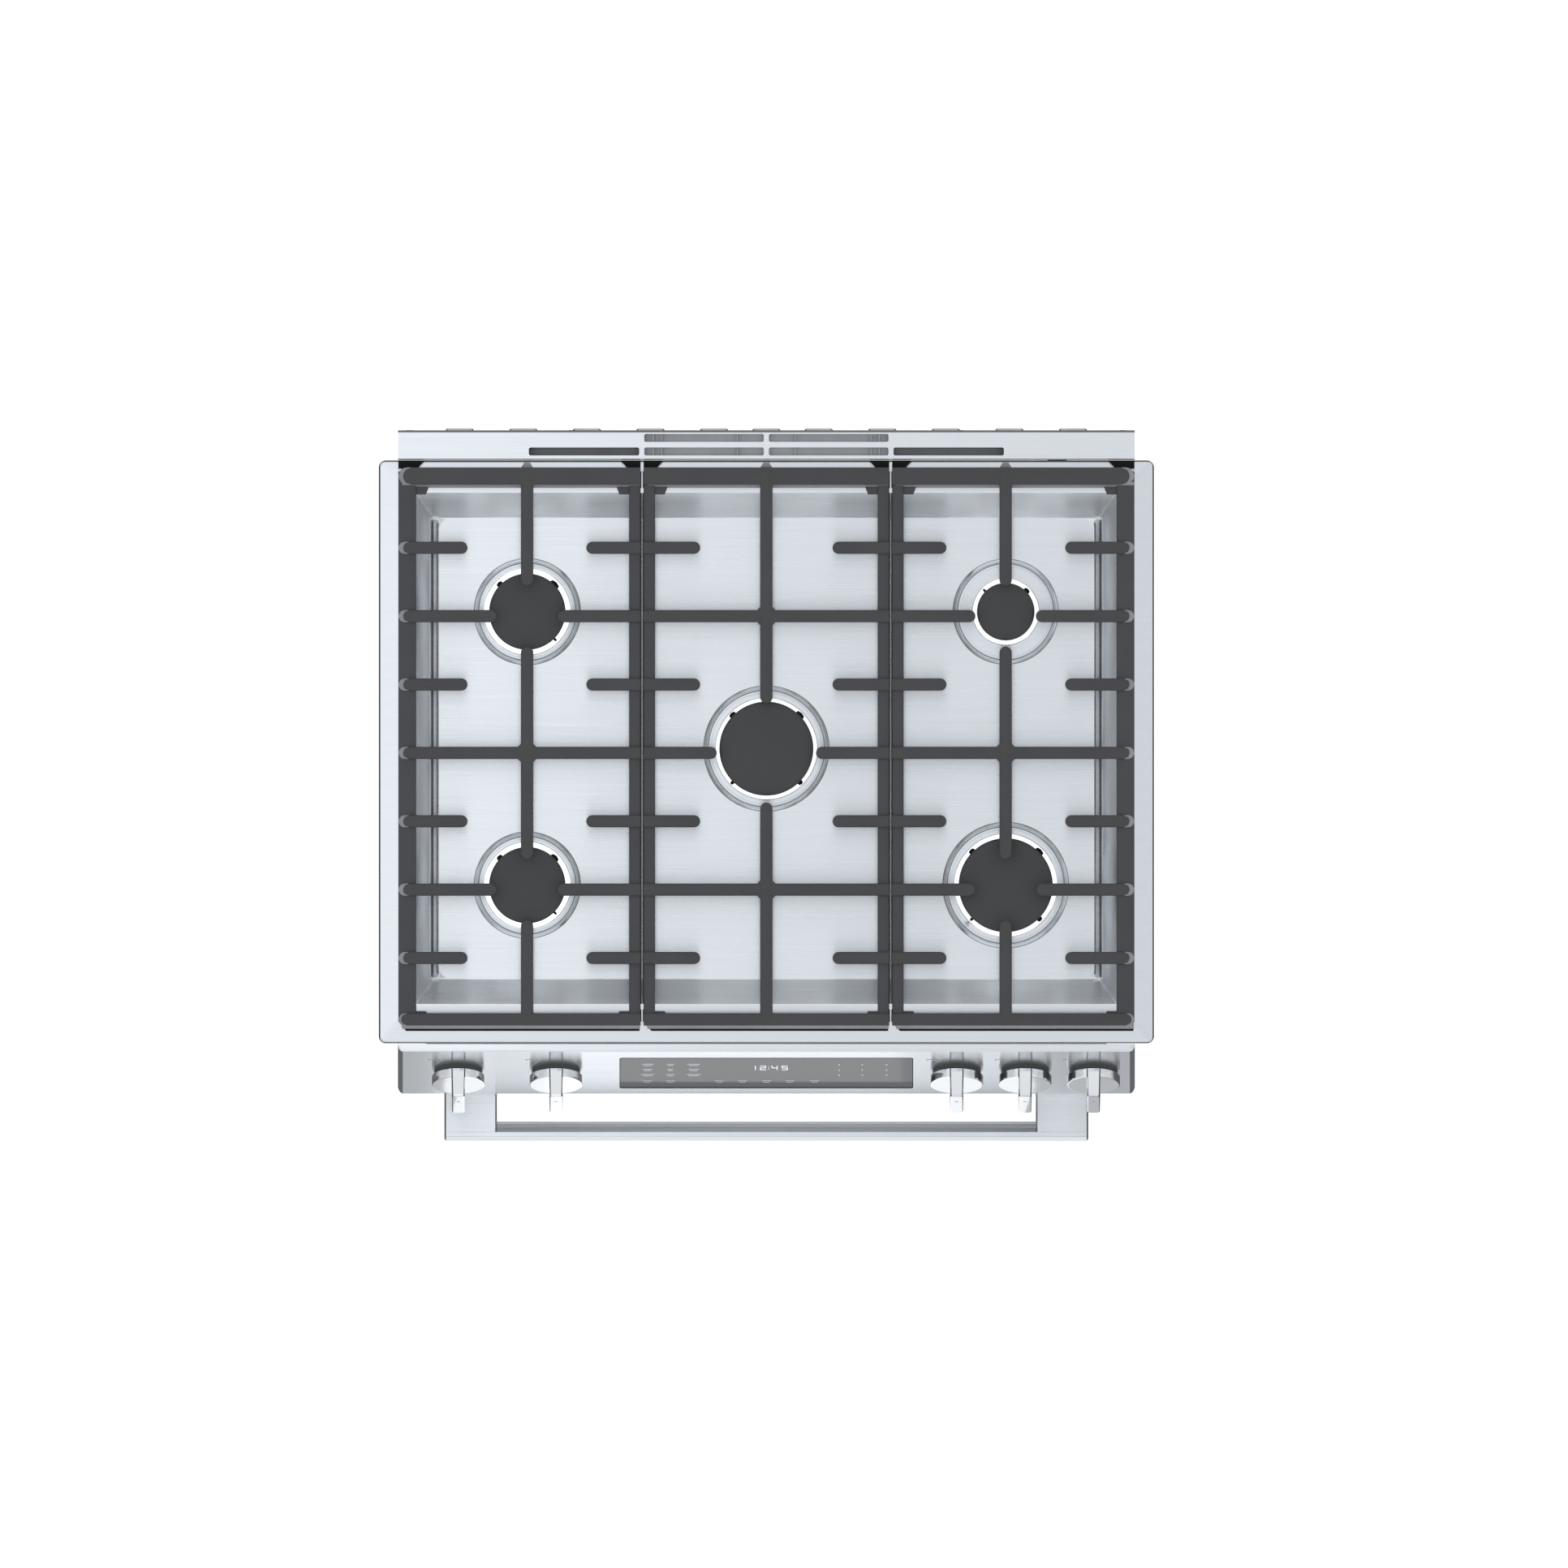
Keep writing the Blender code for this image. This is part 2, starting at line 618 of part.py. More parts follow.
def make_side_grate(name, side):
    outer, inner = side * SIDE_GRATE_OUTER_X, side * SIDE_GRATE_INNER_X
    middle = side * SIDE_GRATE_MIDDLE_X
    low, high = sorted((outer, inner))
    rails = (OUTER_RAIL, INNER_RAIL) if side < 0 else (INNER_RAIL, OUTER_RAIL)
    grate, front = end_bars(name, low, high)
    rear_y, front_y = MIDDLE_BAR_Y + 2 * BAR_PITCH, MIDDLE_BAR_Y - 2 * BAR_PITCH
    pieces = [front, *ring(low, high, *rails)]
    pieces += full_bars(inner, outer, rear_y, middle, SIDE_REACH)
    pieces += full_bars(inner, outer, MIDDLE_BAR_Y)
    pieces += full_bars(inner, outer, front_y, middle, SIDE_REACH)
    pieces += short_fingers(inner, outer, *(side * tip for tip in SIDE_GRATE_TIPS))
    pieces += long_fingers(middle, [(rear_y, SIDE_REACH), (front_y, SIDE_REACH)])
    join(grate, *pieces)


def make_centre_grate():
    low, high = -CENTRE_GRATE_X, CENTRE_GRATE_X
    grate, front = end_bars("grate_centre", low, high)
    pieces = [front, *ring(low, high, INNER_RAIL, INNER_RAIL)]
    for step in (-2, 2):
        pieces += full_bars(low, high, MIDDLE_BAR_Y + step * BAR_PITCH)
    pieces += full_bars(low, high, MIDDLE_BAR_Y, 0.0, CENTRE_REACH)
    pieces += short_fingers(low, high, -CENTRE_GRATE_TIP, CENTRE_GRATE_TIP)
    pieces += long_fingers(0.0, [(MIDDLE_BAR_Y, CENTRE_REACH)])
    join(grate, *pieces)


# ---------------------------------------------------------------- control panel and gas line
def panel_place():
    """The frame on the panel's face: local X across, Y up the face, Z out of it."""
    up = Vector((0, math.sin(PANEL_TILT), math.cos(PANEL_TILT)))
    out = Vector((0, -math.cos(PANEL_TILT), math.sin(PANEL_TILT)))
    middle = Vector((0, (PANEL_TOP_Y + PANEL_BOTTOM_Y) / 2, (PANEL_TOP_Z + PANEL_BOTTOM_Z) / 2))
    turn = Matrix(((1, 0, 0), up, out)).transposed().to_4x4()
    return Matrix.Translation(middle) @ turn


PANEL = panel_place()
KNOB_PLACES = {n: PANEL @ Matrix.Translation((x, KNOB_UP_FACE, 0)) for n, x in KNOB_X.items()}


def on_face(place, obj):
    """Puts an object that was made in a face frame into the world."""
    obj.matrix_world = place @ obj.matrix_world
    return obj


def make_control_panel():
    """A folded shell with a sloping face, a hole for each stem and a window for the glass."""
    wall = SHEET
    slope = (PANEL_TOP_Y - PANEL_BOTTOM_Y) / (PANEL_TOP_Z - PANEL_BOTTOM_Z)
    across = wall / math.cos(PANEL_TILT)
    outer = [
        (PANEL_BACK_Y, 0.9095),
        (PANEL_TOP_Y + 0.0015, 0.9095),
        (PANEL_TOP_Y, PANEL_TOP_Z),
        (PANEL_BOTTOM_Y, PANEL_BOTTOM_Z),
        (PANEL_BACK_Y, PANEL_BOTTOM_Z),
    ]
    low_z, high_z = PANEL_BOTTOM_Z + wall, PANEL_TOP_Z - wall
    inner = [
        (PANEL_BACK_Y + 0.02, high_z),
        (PANEL_TOP_Y + across - (PANEL_TOP_Z - high_z) * slope, high_z),
        (PANEL_BOTTOM_Y + across + (low_z - PANEL_BOTTOM_Z) * slope, low_z),
        (PANEL_BACK_Y + 0.02, low_z),
    ]
    panel = prism("control_panel", outer, -PANEL_HALF_WIDTH, PANEL_HALF_WIDTH, STEEL)
    cut(panel, prism("panel_inside", inner, -PANEL_HALF_WIDTH + wall, PANEL_HALF_WIDTH - wall))
    holes = [
        on_face(place, rod("stem_hole", (0, 0, -0.01), (0, 0, 0.01), 0.0055))
        for place in KNOB_PLACES.values()
    ]
    across, up = GLASS_HALF_WIDTH + GAP, GLASS_HALF_HEIGHT + GAP
    holes.append(on_face(PANEL, box("window", (-across, -up, -0.006), (across, up, 0.006))))
    cut(panel, *holes)
    glass = box(
        "display_glass",
        (-GLASS_HALF_WIDTH, -GLASS_HALF_HEIGHT, -GLASS_THICKNESS),
        (GLASS_HALF_WIDTH, GLASS_HALF_HEIGHT, 0.0002),
        PANEL_GLASS,
    )
    on_face(PANEL, glass)
    board = box(
        "control_board_housing",
        (-0.155, -0.050, -0.0260),
        (0.155, 0.050, -GLASS_THICKNESS - GAP - 0.0015),
        BLACK_PLASTIC,
    )
    on_face(PANEL, board)


def make_valves():
    """A brass valve behind the face for each knob, on the manifold pipe."""
    for number, place in KNOB_PLACES.items():
        low, high = (-0.0120, -0.0140, -0.0300), (0.0120, 0.0140, VALVE_FRONT - 0.004)
        body = box(f"gas_valve_{number}", low, high, BRASS)
        collar = rod("valve_collar", (0, 0, -0.012), (0, 0, VALVE_FRONT), 0.0080, sides=12)
        saddle = rod("valve_saddle", (0, 0, VALVE_BACK), (0, 0, -0.028), 0.0070, sides=12)
        outlet = rod("valve_outlet", (0, 0.010, -0.022), (0, 0.022, -0.022), 0.0045, sides=8)
        for piece in (body, collar, saddle, outlet):
            on_face(place, piece)
        join(body, collar, saddle, outlet)
        bore = rod("stem_bore", (0, 0, STEM_LOW - 0.0010), (0, 0, 0), STEM_HOLE_RADIUS)
        cut(body, on_face(place, bore))


def make_manifold():
    """The gas rail behind the valves, and the supply pipe from its end to the inlet at the back."""
    centre = PANEL @ Vector((0, KNOB_UP_FACE, -MANIFOLD_DEPTH))
    y, z = centre.y, centre.z
    corners = [
        (-0.345, y, z),
        (0.3500, y, z),
        (0.3500, 0.3100, z),
        (0.3500, 0.3100, 0.3000),
        (0.3000, 0.3100, 0.3000),
        (0.3000, REAR_PANEL_Y - 0.001, 0.3000),
    ]
    tube("gas_manifold", bent(corners, 0.020), MANIFOLD_RADIUS, ZINC, resolution=2)


def make_knobs():
    """A disc with a grip blade across it, on a stem that turns in its valve."""
    for number, place in KNOB_PLACES.items():
        axis = pivot(f"knob_axis_{number}", place.translation, place.to_3x3().to_4x4())
        stem = rod(f"valve_stem_{number}", (0, 0, STEM_LOW), (0, 0, STEM_HIGH), STEM_RADIUS, ZINC)
        low, high = (0, 0, KNOB_DISC_LOW), (0, 0, KNOB_DISC_HIGH)
        knob = rod(f"knob_{number}", low, high, KNOB_RADIUS, CHROME, sides=32)
        low, high = (0, 0, KNOB_SKIRT_LOW), (0, 0, KNOB_DISC_LOW + 0.001)
        skirt = rod("skirt", low, high, KNOB_SKIRT_RADIUS, sides=24)
        bm = cube(
            (-BLADE_HALF_WIDTH, -BLADE_HALF_LENGTH, KNOB_DISC_LOW + 0.0002),
            (BLADE_HALF_WIDTH, BLADE_HALF_LENGTH, KNOB_TOP),
        )
        for vert in bm.verts:
            if vert.co.z > KNOB_DISC_HIGH:
                vert.co.x = math.copysign(BLADE_TIP_HALF_WIDTH, vert.co.x)
        blade = from_bmesh("blade", bm)
        bore = rod("knob_bore", (0, 0, 0), (0, 0, KNOB_BORE_TOP), STEM_HOLE_RADIUS)
        join(knob, skirt, blade)
        cut(knob, bore)
        for piece in (stem, knob, skirt, blade, bore):
            piece.parent = axis


# ---------------------------------------------------------------- oven
def make_liner():
    """The enamelled cavity: a box with a mouth, a front flange and five pairs of rack ribs."""
    wall = THICK_SHEET
    half = CAVITY_HALF_WIDTH
    liner = box(
        "oven_liner",
        (-half - wall, CAVITY_FRONT_Y - wall, CAVITY_FLOOR_Z - wall),
        (half + wall, CAVITY_BACK_Y + wall, CAVITY_TOP_Z + wall),
        OVEN_ENAMEL,
    )
    mouth = box(
        "mouth",
        (-half - wall, FRONT_FLANGE_Y + 0.001, MOUTH_BOTTOM_Z - wall),
        (half + wall, CAVITY_FRONT_Y, CAVITY_TOP_Z + wall - 0.0004),
    )
    flange = box(
        "flange",
        (-0.376, FRONT_FLANGE_Y, FRAME_BOTTOM_Z),
        (0.376, FRONT_FLANGE_Y + wall, FRAME_TOP_Z),
    )
    join(liner, mouth, flange)
    cavity_low = (-half, CAVITY_FRONT_Y, CAVITY_FLOOR_Z)
    cut(liner, box("cavity", cavity_low, (half, CAVITY_BACK_Y, CAVITY_TOP_Z)))
    opening_low = (-half, FRONT_FLANGE_Y - 0.01, MOUTH_BOTTOM_Z)
    cut(liner, box("opening", opening_low, (half, CAVITY_FRONT_Y + 0.01, CAVITY_TOP_Z)))
    ribs = []
    for level in RIB_LEVELS:
        for side in (-1, 1):
            near, far = sorted((side * (half - RIB_DEPTH), side * (half + 0.001)))
            ribs.append(box("rib", (near, -0.235, level - RIB), (far, 0.185, level)))
    join(liner, *ribs)
    cut(
        liner,
        rod("shaft_hole", (0, 0.19, FAN_Z), (0, 0.22, FAN_Z), 0.0090),
        rod("flue_hole", (0, 0.15, 0.73), (0, 0.15, 0.76), 0.0300),
    )


def make_oven_floor():
    """The removable floor panel over the bake burner, with slots that let the heat up its sides."""
    low, high = (-0.3042, -0.2540, 0.3020), (0.3042, 0.2042, 0.3045)
    floor = box("oven_floor_panel", low, high, OVEN_ENAMEL)
    slots = []
    for x in (-0.27, 0.27):
        for y in (-0.18, -0.02, 0.14):
            slots.append(box("heat_slot", (x - 0.012, y, 0.29), (x + 0.012, y + 0.05, 0.32)))
    cut(floor, *slots)


def make_oven_burners():
    loop = [
        (-0.0900, 0.2030, 0.2830),
        (-0.0900, -0.1900, 0.2830),
        (0.0900, -0.1900, 0.2830),
        (0.0900, 0.1500, 0.2830),
    ]
    tube("bake_burner", bent(loop, 0.050, steps=4), 0.0100, ALUMINIUM, resolution=2)
    top = [
        (-0.1400, 0.2030, 0.7250),
        (-0.1400, -0.1700, 0.7250),
        (0.1400, -0.1700, 0.7250),
        (0.1400, 0.1000, 0.7250),
        (0.0700, 0.1000, 0.7250),
        (0.0700, -0.1000, 0.7250),
        (-0.0700, -0.1000, 0.7250),
        (-0.0700, 0.0900, 0.7250),
    ]
    tube("broil_burner", bent(top, 0.030, steps=4), 0.0070, ALUMINIUM, resolution=2)


def make_racks():
    """Two wire racks on the ribs. Each has a ring, cross wires and raised stops at the back."""
    half, front, back, rod_width = 0.3020, -0.2400, 0.1600, 0.0060
    for name, level in RACK_LEVELS.items():
        low, high = level + GAP, level + GAP + rod_width
        rack = box(f"oven_rack_{name}", (-half, front, low), (half, front + rod_width, high), CHROME)
        spans = [
            ((-half, back - rod_width, low), (half, back, high)),
            ((-half, front, low), (-half + rod_width, back, high)),
            ((half - rod_width, front, low), (half, back, high)),
            ((-half + 0.030, back - 0.005, high - 0.002), (half - 0.030, back - 0.001, high + 0.012)),
        ]
        for x in [(i - 5) * 0.050 for i in range(11)]:
            wire_low = (x - 0.002, front + 0.001, high - 0.002)
            spans.append((wire_low, (x + 0.002, back - 0.001, high + 0.002)))
        for y in (-0.100, 0.040):
            wire_low = (-half + 0.001, y - 0.0025, low)
            spans.append((wire_low, (half - 0.001, y + 0.0025, high - 0.001)))
        join(rack, *(box("wire", *span) for span in spans))


def make_fan():
    """The convection fan, its motor behind the cavity and its cover in front."""
    axis = pivot("fan_axis", (0, 0.1850, FAN_Z))
    fan = rod("convection_fan", (0, 0.1945, FAN_Z), (0, 0.1965, FAN_Z), 0.0750, ZINC, sides=24)
    pieces = [
        rod("hub", (0, 0.1820, FAN_Z), (0, 0.1960, FAN_Z), 0.0120),
        rod("shaft", (0, 0.1900, FAN_Z), (0, 0.2400, FAN_Z), 0.0040, sides=12),
    ]
    for i in range(8):
        blade = box("fan_blade", (0.030, -0.0008, 0.0), (0.072, 0.0008, 0.0150))
        turn = Matrix.Rotation(i * math.tau / 8, 4, "Y") @ Matrix.Rotation(math.pi / 2, 4, "X")
        blade.matrix_world = Matrix.Translation((0, 0.1955, FAN_Z)) @ turn
        pieces.append(blade)
    join(fan, *pieces)
    hang(axis, fan)
    motor = rod("fan_motor", (0, 0.2085, FAN_Z), (0, 0.2650, FAN_Z), 0.0420, GALVANISED, sides=20)
    cut(motor, rod("motor_bore", (0, 0.2000, FAN_Z), (0, 0.2450, FAN_Z), 0.0042, sides=12))
    low = Vector((-0.125, 0.1600, FAN_Z - 0.110))
    high = Vector((0.125, CAVITY_BACK_Y - GAP, FAN_Z + 0.110))
    cover = box("fan_cover", low, high, OVEN_ENAMEL)
    wall = Vector((SHEET, SHEET, SHEET))
    cut(cover, box("cover_inside", low + wall, high - wall + Vector((0, 0.01, 0))))
    slots = []
    for i in range(5):
        z = FAN_Z + (i - 2) * 0.030
        half = 0.075 - 0.006 * abs(i - 2) ** 2
        slots.append(box("air_slot", (-half, 0.15, z - 0.006), (half, 0.17, z + 0.006)))
    cut(cover, *slots)


# ---------------------------------------------------------------- door
def hinge_notches():
    """Cutters that make room in the door's lower corners for the fixed hinge arms."""
    made = []
    for side in (-1, 1):
        x = side * HINGE_X
        made.append(box("hinge_notch", (x - 0.0105, -0.3045, 0.24), (x + 0.0105, -0.27, 0.2780)))
    return made


def make_door_outer():
    """The steel skin, a shallow pan that faces back, and the glass behind its window."""
    half, wall = DOOR_HALF_WIDTH, THICK_SHEET
    low, high = (-half, DOOR_FRONT_Y, DOOR_BOTTOM_Z), (half, DOOR_SPLIT_Y, DOOR_TOP_Z)
    skin = box("door_outer_panel", low, high, STEEL)
    hollow = box(
        "skin_inside",
        (-half + wall, DOOR_FRONT_Y + wall, DOOR_BOTTOM_Z + wall),
        (half - wall, DOOR_SPLIT_Y + 0.01, DOOR_TOP_Z - wall),
    )
    cut(skin, hollow)
    window = box("skin_window", (-0.2550, -0.33, 0.3700), (0.2550, -0.30, 0.6600))
    cut(skin, window, *hinge_notches())
    y = DOOR_FRONT_Y + wall + GAP
    glass = box("door_outer_glass", (-0.2800, y, 0.3450), (0.2800, y + 0.0040, 0.6850), DOOR_GLASS)
    return skin, glass


def make_door_inner():
    """The enamelled inner pan with the hinge cheeks, and the glass behind its window."""
    half, wall = DOOR_HALF_WIDTH - 0.001, THICK_SHEET
    low, high = (-half, DOOR_SPLIT_Y + GAP, DOOR_BOTTOM_Z), (half, DOOR_BACK_Y, DOOR_TOP_Z)
    inner = box("door_inner_panel", low, high, OVEN_ENAMEL)
    hollow = box(
        "inner_inside",
        (-half + wall, DOOR_SPLIT_Y - 0.01, DOOR_BOTTOM_Z + wall),
        (half - wall, DOOR_BACK_Y - wall, DOOR_TOP_Z - wall),
    )
    cut(inner, hollow)
    cheeks, pin_holes = [], []
    for side in (-1, 1):
        for x in (side * HINGE_X - 0.0155, side * HINGE_X + 0.0155):
            low, high = (x - 0.0030, -0.3035, 0.2503), (x + 0.0030, DOOR_BACK_Y - 0.0005, 0.2800)
            cheeks.append(box("hinge_cheek", low, high))
        start = Vector((side * HINGE_X - 0.03, HINGE_Y, HINGE_Z))
        pin_holes.append(rod("pin_hole", start, start + Vector((0.06, 0, 0)), 0.0032, sides=12))
    join(inner, *cheeks)
    window = box("inner_window", (-0.2250, -0.30, 0.4100), (0.2250, -0.26, 0.6200))
    cut(inner, window, *hinge_notches(), *pin_holes)
    y = DOOR_BACK_Y - wall - GAP
    glass = box("door_inner_glass", (-0.2500, y - 0.0040, 0.3900), (0.2500, y, 0.6400), DOOR_GLASS)
    return inner, glass


def make_door():
    axis = pivot("door_axis", (0, HINGE_Y, HINGE_Z))
    hang(axis, *make_door_outer(), *make_door_inner(), make_handle())


def make_handle():
    """A bar with a sloping inner face, on two wide flat brackets flush with its top."""
    top = HANDLE_TOP_Z
    profile = [
        (-0.3584, top),
        (-0.3637, top),
        (HANDLE_FRONT_Y, top - 0.0040),
        (HANDLE_FRONT_Y, top - 0.0240),
        (-0.3640, top - 0.0280),
        (-0.3510, top - 0.0280),
        (-0.3480, top - 0.0250),
        (-0.3480, top - 0.0180),
    ]
    handle = prism("door_handle", profile, -HANDLE_HALF_WIDTH, HANDLE_HALF_WIDTH, STEEL)
    brackets = []
    for side in (-1, 1):
        x = side * (HANDLE_HALF_WIDTH - BRACKET_WIDTH / 2)
        low = (x - BRACKET_WIDTH / 2, -0.3600, top - 0.0200)
        brackets.append(box("bracket", low, (x + BRACKET_WIDTH / 2, DOOR_FRONT_Y - GAP, top)))
    join(handle, *brackets)
    return handle


def make_hinges():
    """A fixed arm at each bottom corner, carrying the pin that the door turns on."""
    for name, side in (("left", -1), ("right", 1)):
        centre = Vector((side * HINGE_X, HINGE_Y, HINGE_Z))
        low, high = centre - Vector((0.0060, 0, 0.0060)), centre + Vector((0.0060, 0.0365, 0.0060))
        arm = box(f"door_hinge_{name}", low, high, ZINC)
        along = Vector((1, 0, 0))
        eye = rod("hinge_eye", centre - 0.0055 * along, centre + 0.0055 * along, 0.0060, sides=16)
        pin = rod("hinge_pin", centre - 0.0200 * along, centre + 0.0200 * along, 0.0030, sides=12)
        low = (centre.x - 0.0120, -0.2613, HINGE_Z - 0.0160)
        plate = box("hinge_plate", low, (centre.x + 0.0120, FRAME_Y - GAP, HINGE_Z + 0.0160))
        join(arm, eye, pin, plate)


# ---------------------------------------------------------------- drawer
def make_drawer():
    back = DOOR_FRONT_Y + DRAWER_FRONT_DEPTH
    half = DOOR_HALF_WIDTH
    low, high = (-half, DOOR_FRONT_Y, DRAWER_BOTTOM_Z), (half, back, DRAWER_TOP_Z)
    front = box("drawer_front", low, high, STEEL)
    grip = box("finger_grip", (-0.40, DRAWER_LIP_Y, DRAWER_GRIP_Z), (0.40, -0.25, 0.25))
    hollow = box(
        "front_inside",
        (-half + SHEET, DOOR_FRONT_Y + 0.0090, DRAWER_BOTTOM_Z + SHEET),
        (half - SHEET, back + 0.01, DRAWER_GRIP_Z - SHEET),
    )
    cut(front, grip, hollow)
    start = DOOR_FRONT_Y + 0.0090 + GAP
    low, high = Vector((-0.3455, start, 0.0880)), Vector((0.3455, 0.2400, 0.2050))
    tray = box("drawer_box", low, high, GALVANISED)
    lips = []
    for side in (-1, 1):
        near, far = sorted((side * 0.3450, side * 0.3600))
        lip_z = RAIL_TOP_Z + GAP
        lips.append(box("lip", (near, -0.2550, lip_z), (far, 0.2400, lip_z + SHEET)))
    join(tray, *lips)
    wall = Vector((SHEET, SHEET, SHEET))
    cut(tray, box("tray_inside", low + wall, high - wall + Vector((0, 0, 0.02))))
    hang(pivot("drawer_slide", (0, back, RAIL_TOP_Z)), front, tray)


make_base()
make_legs()
make_side_panels()
make_rear_panel()
make_cooktop()
make_vent_trim()
make_burners()
make_side_grate("grate_left", -1)
make_side_grate("grate_right", 1)
make_centre_grate()
make_control_panel()
make_valves()
make_manifold()
make_knobs()
make_liner()
make_oven_floor()
make_oven_burners()
make_racks()
make_fan()
make_door()
make_hinges()
make_drawer()
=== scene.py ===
"""Looks for the gas range: every piece that shows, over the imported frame.

Metres, +Z up, front towards -Y, in the same frame as the CAD.
"""

import json
import math

import bmesh
import bpy
from mathutils import Matrix, Vector


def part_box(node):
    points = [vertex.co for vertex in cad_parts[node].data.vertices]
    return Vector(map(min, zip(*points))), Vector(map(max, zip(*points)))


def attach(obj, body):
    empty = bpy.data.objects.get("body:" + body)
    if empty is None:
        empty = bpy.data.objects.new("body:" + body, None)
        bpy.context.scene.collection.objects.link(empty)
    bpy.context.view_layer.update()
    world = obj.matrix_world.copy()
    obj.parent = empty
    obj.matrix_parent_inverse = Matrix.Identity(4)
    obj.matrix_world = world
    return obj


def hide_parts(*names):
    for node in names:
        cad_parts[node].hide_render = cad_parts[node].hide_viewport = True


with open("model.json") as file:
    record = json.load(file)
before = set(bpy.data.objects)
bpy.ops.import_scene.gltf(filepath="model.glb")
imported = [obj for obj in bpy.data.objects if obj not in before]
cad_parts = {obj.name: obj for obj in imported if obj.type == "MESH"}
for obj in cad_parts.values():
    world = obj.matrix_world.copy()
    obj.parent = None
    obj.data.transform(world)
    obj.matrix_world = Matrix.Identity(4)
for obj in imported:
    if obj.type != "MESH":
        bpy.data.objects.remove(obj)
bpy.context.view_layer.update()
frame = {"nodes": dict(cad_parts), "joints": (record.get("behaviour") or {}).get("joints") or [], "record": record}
SLOT_OF = {part["node"]: part["material_slot"] for part in frame["record"]["subparts"]}

# ---------------------------------------------------------------- camera and light
VIEW_WIDTH = 1.618
CAMERA_PLACE = (0.0182, 0.0006, 3.0)
# How high the sky is (-1 to 1), its brightness and its warmth there
SKY_LEVELS = [
    (-1.0, 0.10, 0.02), (-0.30, 0.11, 0.02), (-0.05, 0.50, 0.01), (0.10, 0.67, 0.00),
    (0.50, 0.71, -0.01), (0.76, 0.86, -0.02), (0.92, 0.77, -0.03), (1.0, 0.65, -0.03),
]
LAMP_COLOUR = (0.94, 0.97, 1.0)
# Name, place, target, size, radiance
SOFT_BOXES = (
    ("overhead", (-1.75, 0.5, 5.0), (-1.75, 0.5, 0), (3.2, 3.6), 0.31),
    ("zenith", (0.0, 0.0, 14.0), (0, 0, 0), (1.9, 1.9), 0.65),
    ("front", (0.0, -4.5, 2.6), (0, 0, 0.6), (3.2, 1.6), 0.50),
)
# Name, middle in X, width, height, radiance
LOW_CARDS = (
    ("low_card", -0.02, 0.92, 0.04, 0.42),
    ("low_card_middle", -0.030, 0.62, 0.05, 0.53),
    ("low_card_bright", -0.045, 0.37, 0.06, 0.30),
)
CARD_Y, CARD_DEPTH = -1.37, 1.60
FLOOR_SIZE, FLOOR_GLOW = 60.0, 0.92


def add_object(name, data):
    """A new object in the scene, at the origin."""
    made = bpy.data.objects.new(name, data)
    bpy.context.scene.collection.objects.link(made)
    return made


def make_camera():
    """A camera straight above, without perspective."""
    data = bpy.data.cameras.new("camera")
    data.type = "ORTHO"
    data.ortho_scale = VIEW_WIDTH
    data.clip_end = 20
    camera = add_object("camera", data)
    camera.location = CAMERA_PLACE
    bpy.context.scene.camera = camera
    bpy.context.scene.view_settings.view_transform = "Standard"


def make_world():
    """A studio that is bright overhead, dimmer at the horizon and dark and warmer below it."""
    world = bpy.data.worlds.new("studio")
    world.use_nodes = True
    tree = world.node_tree
    place = add_node(tree, "TexCoord").outputs["Generated"]
    height = add_node(tree, "SeparateXYZ", Vector=place).outputs["Z"]
    share = add_node(tree, "MapRange", Value=height, From_Min=-1.0).outputs["Result"]
    ramp = add_node(tree, "ValToRGB", Fac=share)
    ramp.color_ramp.interpolation = "EASE"
    while len(ramp.color_ramp.elements) < len(SKY_LEVELS):
        ramp.color_ramp.elements.new(0.5)
    for element, (z, level, warmth) in zip(ramp.color_ramp.elements, SKY_LEVELS):
        element.position = (z + 1) / 2
        element.color = (level * (1 + warmth), level, level * (1 - warmth), 1)
    set_inputs(tree, tree.nodes["Background"], Color=ramp.outputs["Color"])
    bpy.context.scene.world = world


def area_light(name, place, target, size, radiance):
    """A soft box facing a target, as bright as radiance says all over, and slightly blue."""
    data = bpy.data.lights.new(name, "AREA")
    data.shape = "RECTANGLE"
    data.size, data.size_y = size
    data.energy = radiance * math.pi * size[0] * size[1]
    data.color = LAMP_COLOUR
    lamp = add_object(name, data)
    lamp.location = place
    lamp.rotation_mode = "QUATERNION"
    lamp.rotation_quaternion = (Vector(target) - Vector(place)).to_track_quat("-Z", "Y")
    lamp.visible_camera = False


def make_floor():
    """A white floor that glows a little, so it stays pale all round, and isn't mirrored in the steel."""
    mesh = bpy.data.meshes.new("floor")
    half = FLOOR_SIZE / 2
    corners = [(-half, -half, 0), (half, -half, 0), (half, half, 0), (-half, half, 0)]
    mesh.from_pydata(corners, [], [(0, 1, 2, 3)])
    white, tree, shader = start_material("floor_white", 0.0, 1.0, Specular_IOR_Level=0.0)
    set_inputs(tree, shader, Base_Color=(0.4, 0.4, 0.4, 1))
    set_inputs(tree, shader, Emission_Color=(1, 1, 1, 1), Emission_Strength=FLOOR_GLOW)
    mesh.materials.append(white)
    floor = add_object("floor", mesh)
    floor.visible_glossy = False


def make_studio():
    """Soft boxes high on the left, straight above and in front, and three cards low in front."""
    make_world()
    for soft_box in SOFT_BOXES:
        area_light(*soft_box)
    for name, middle, width, height, radiance in LOW_CARDS:
        area_light(name, (middle, CARD_Y, height), (middle, CARD_Y, 1.0), (width, CARD_DEPTH), radiance)
    make_floor()


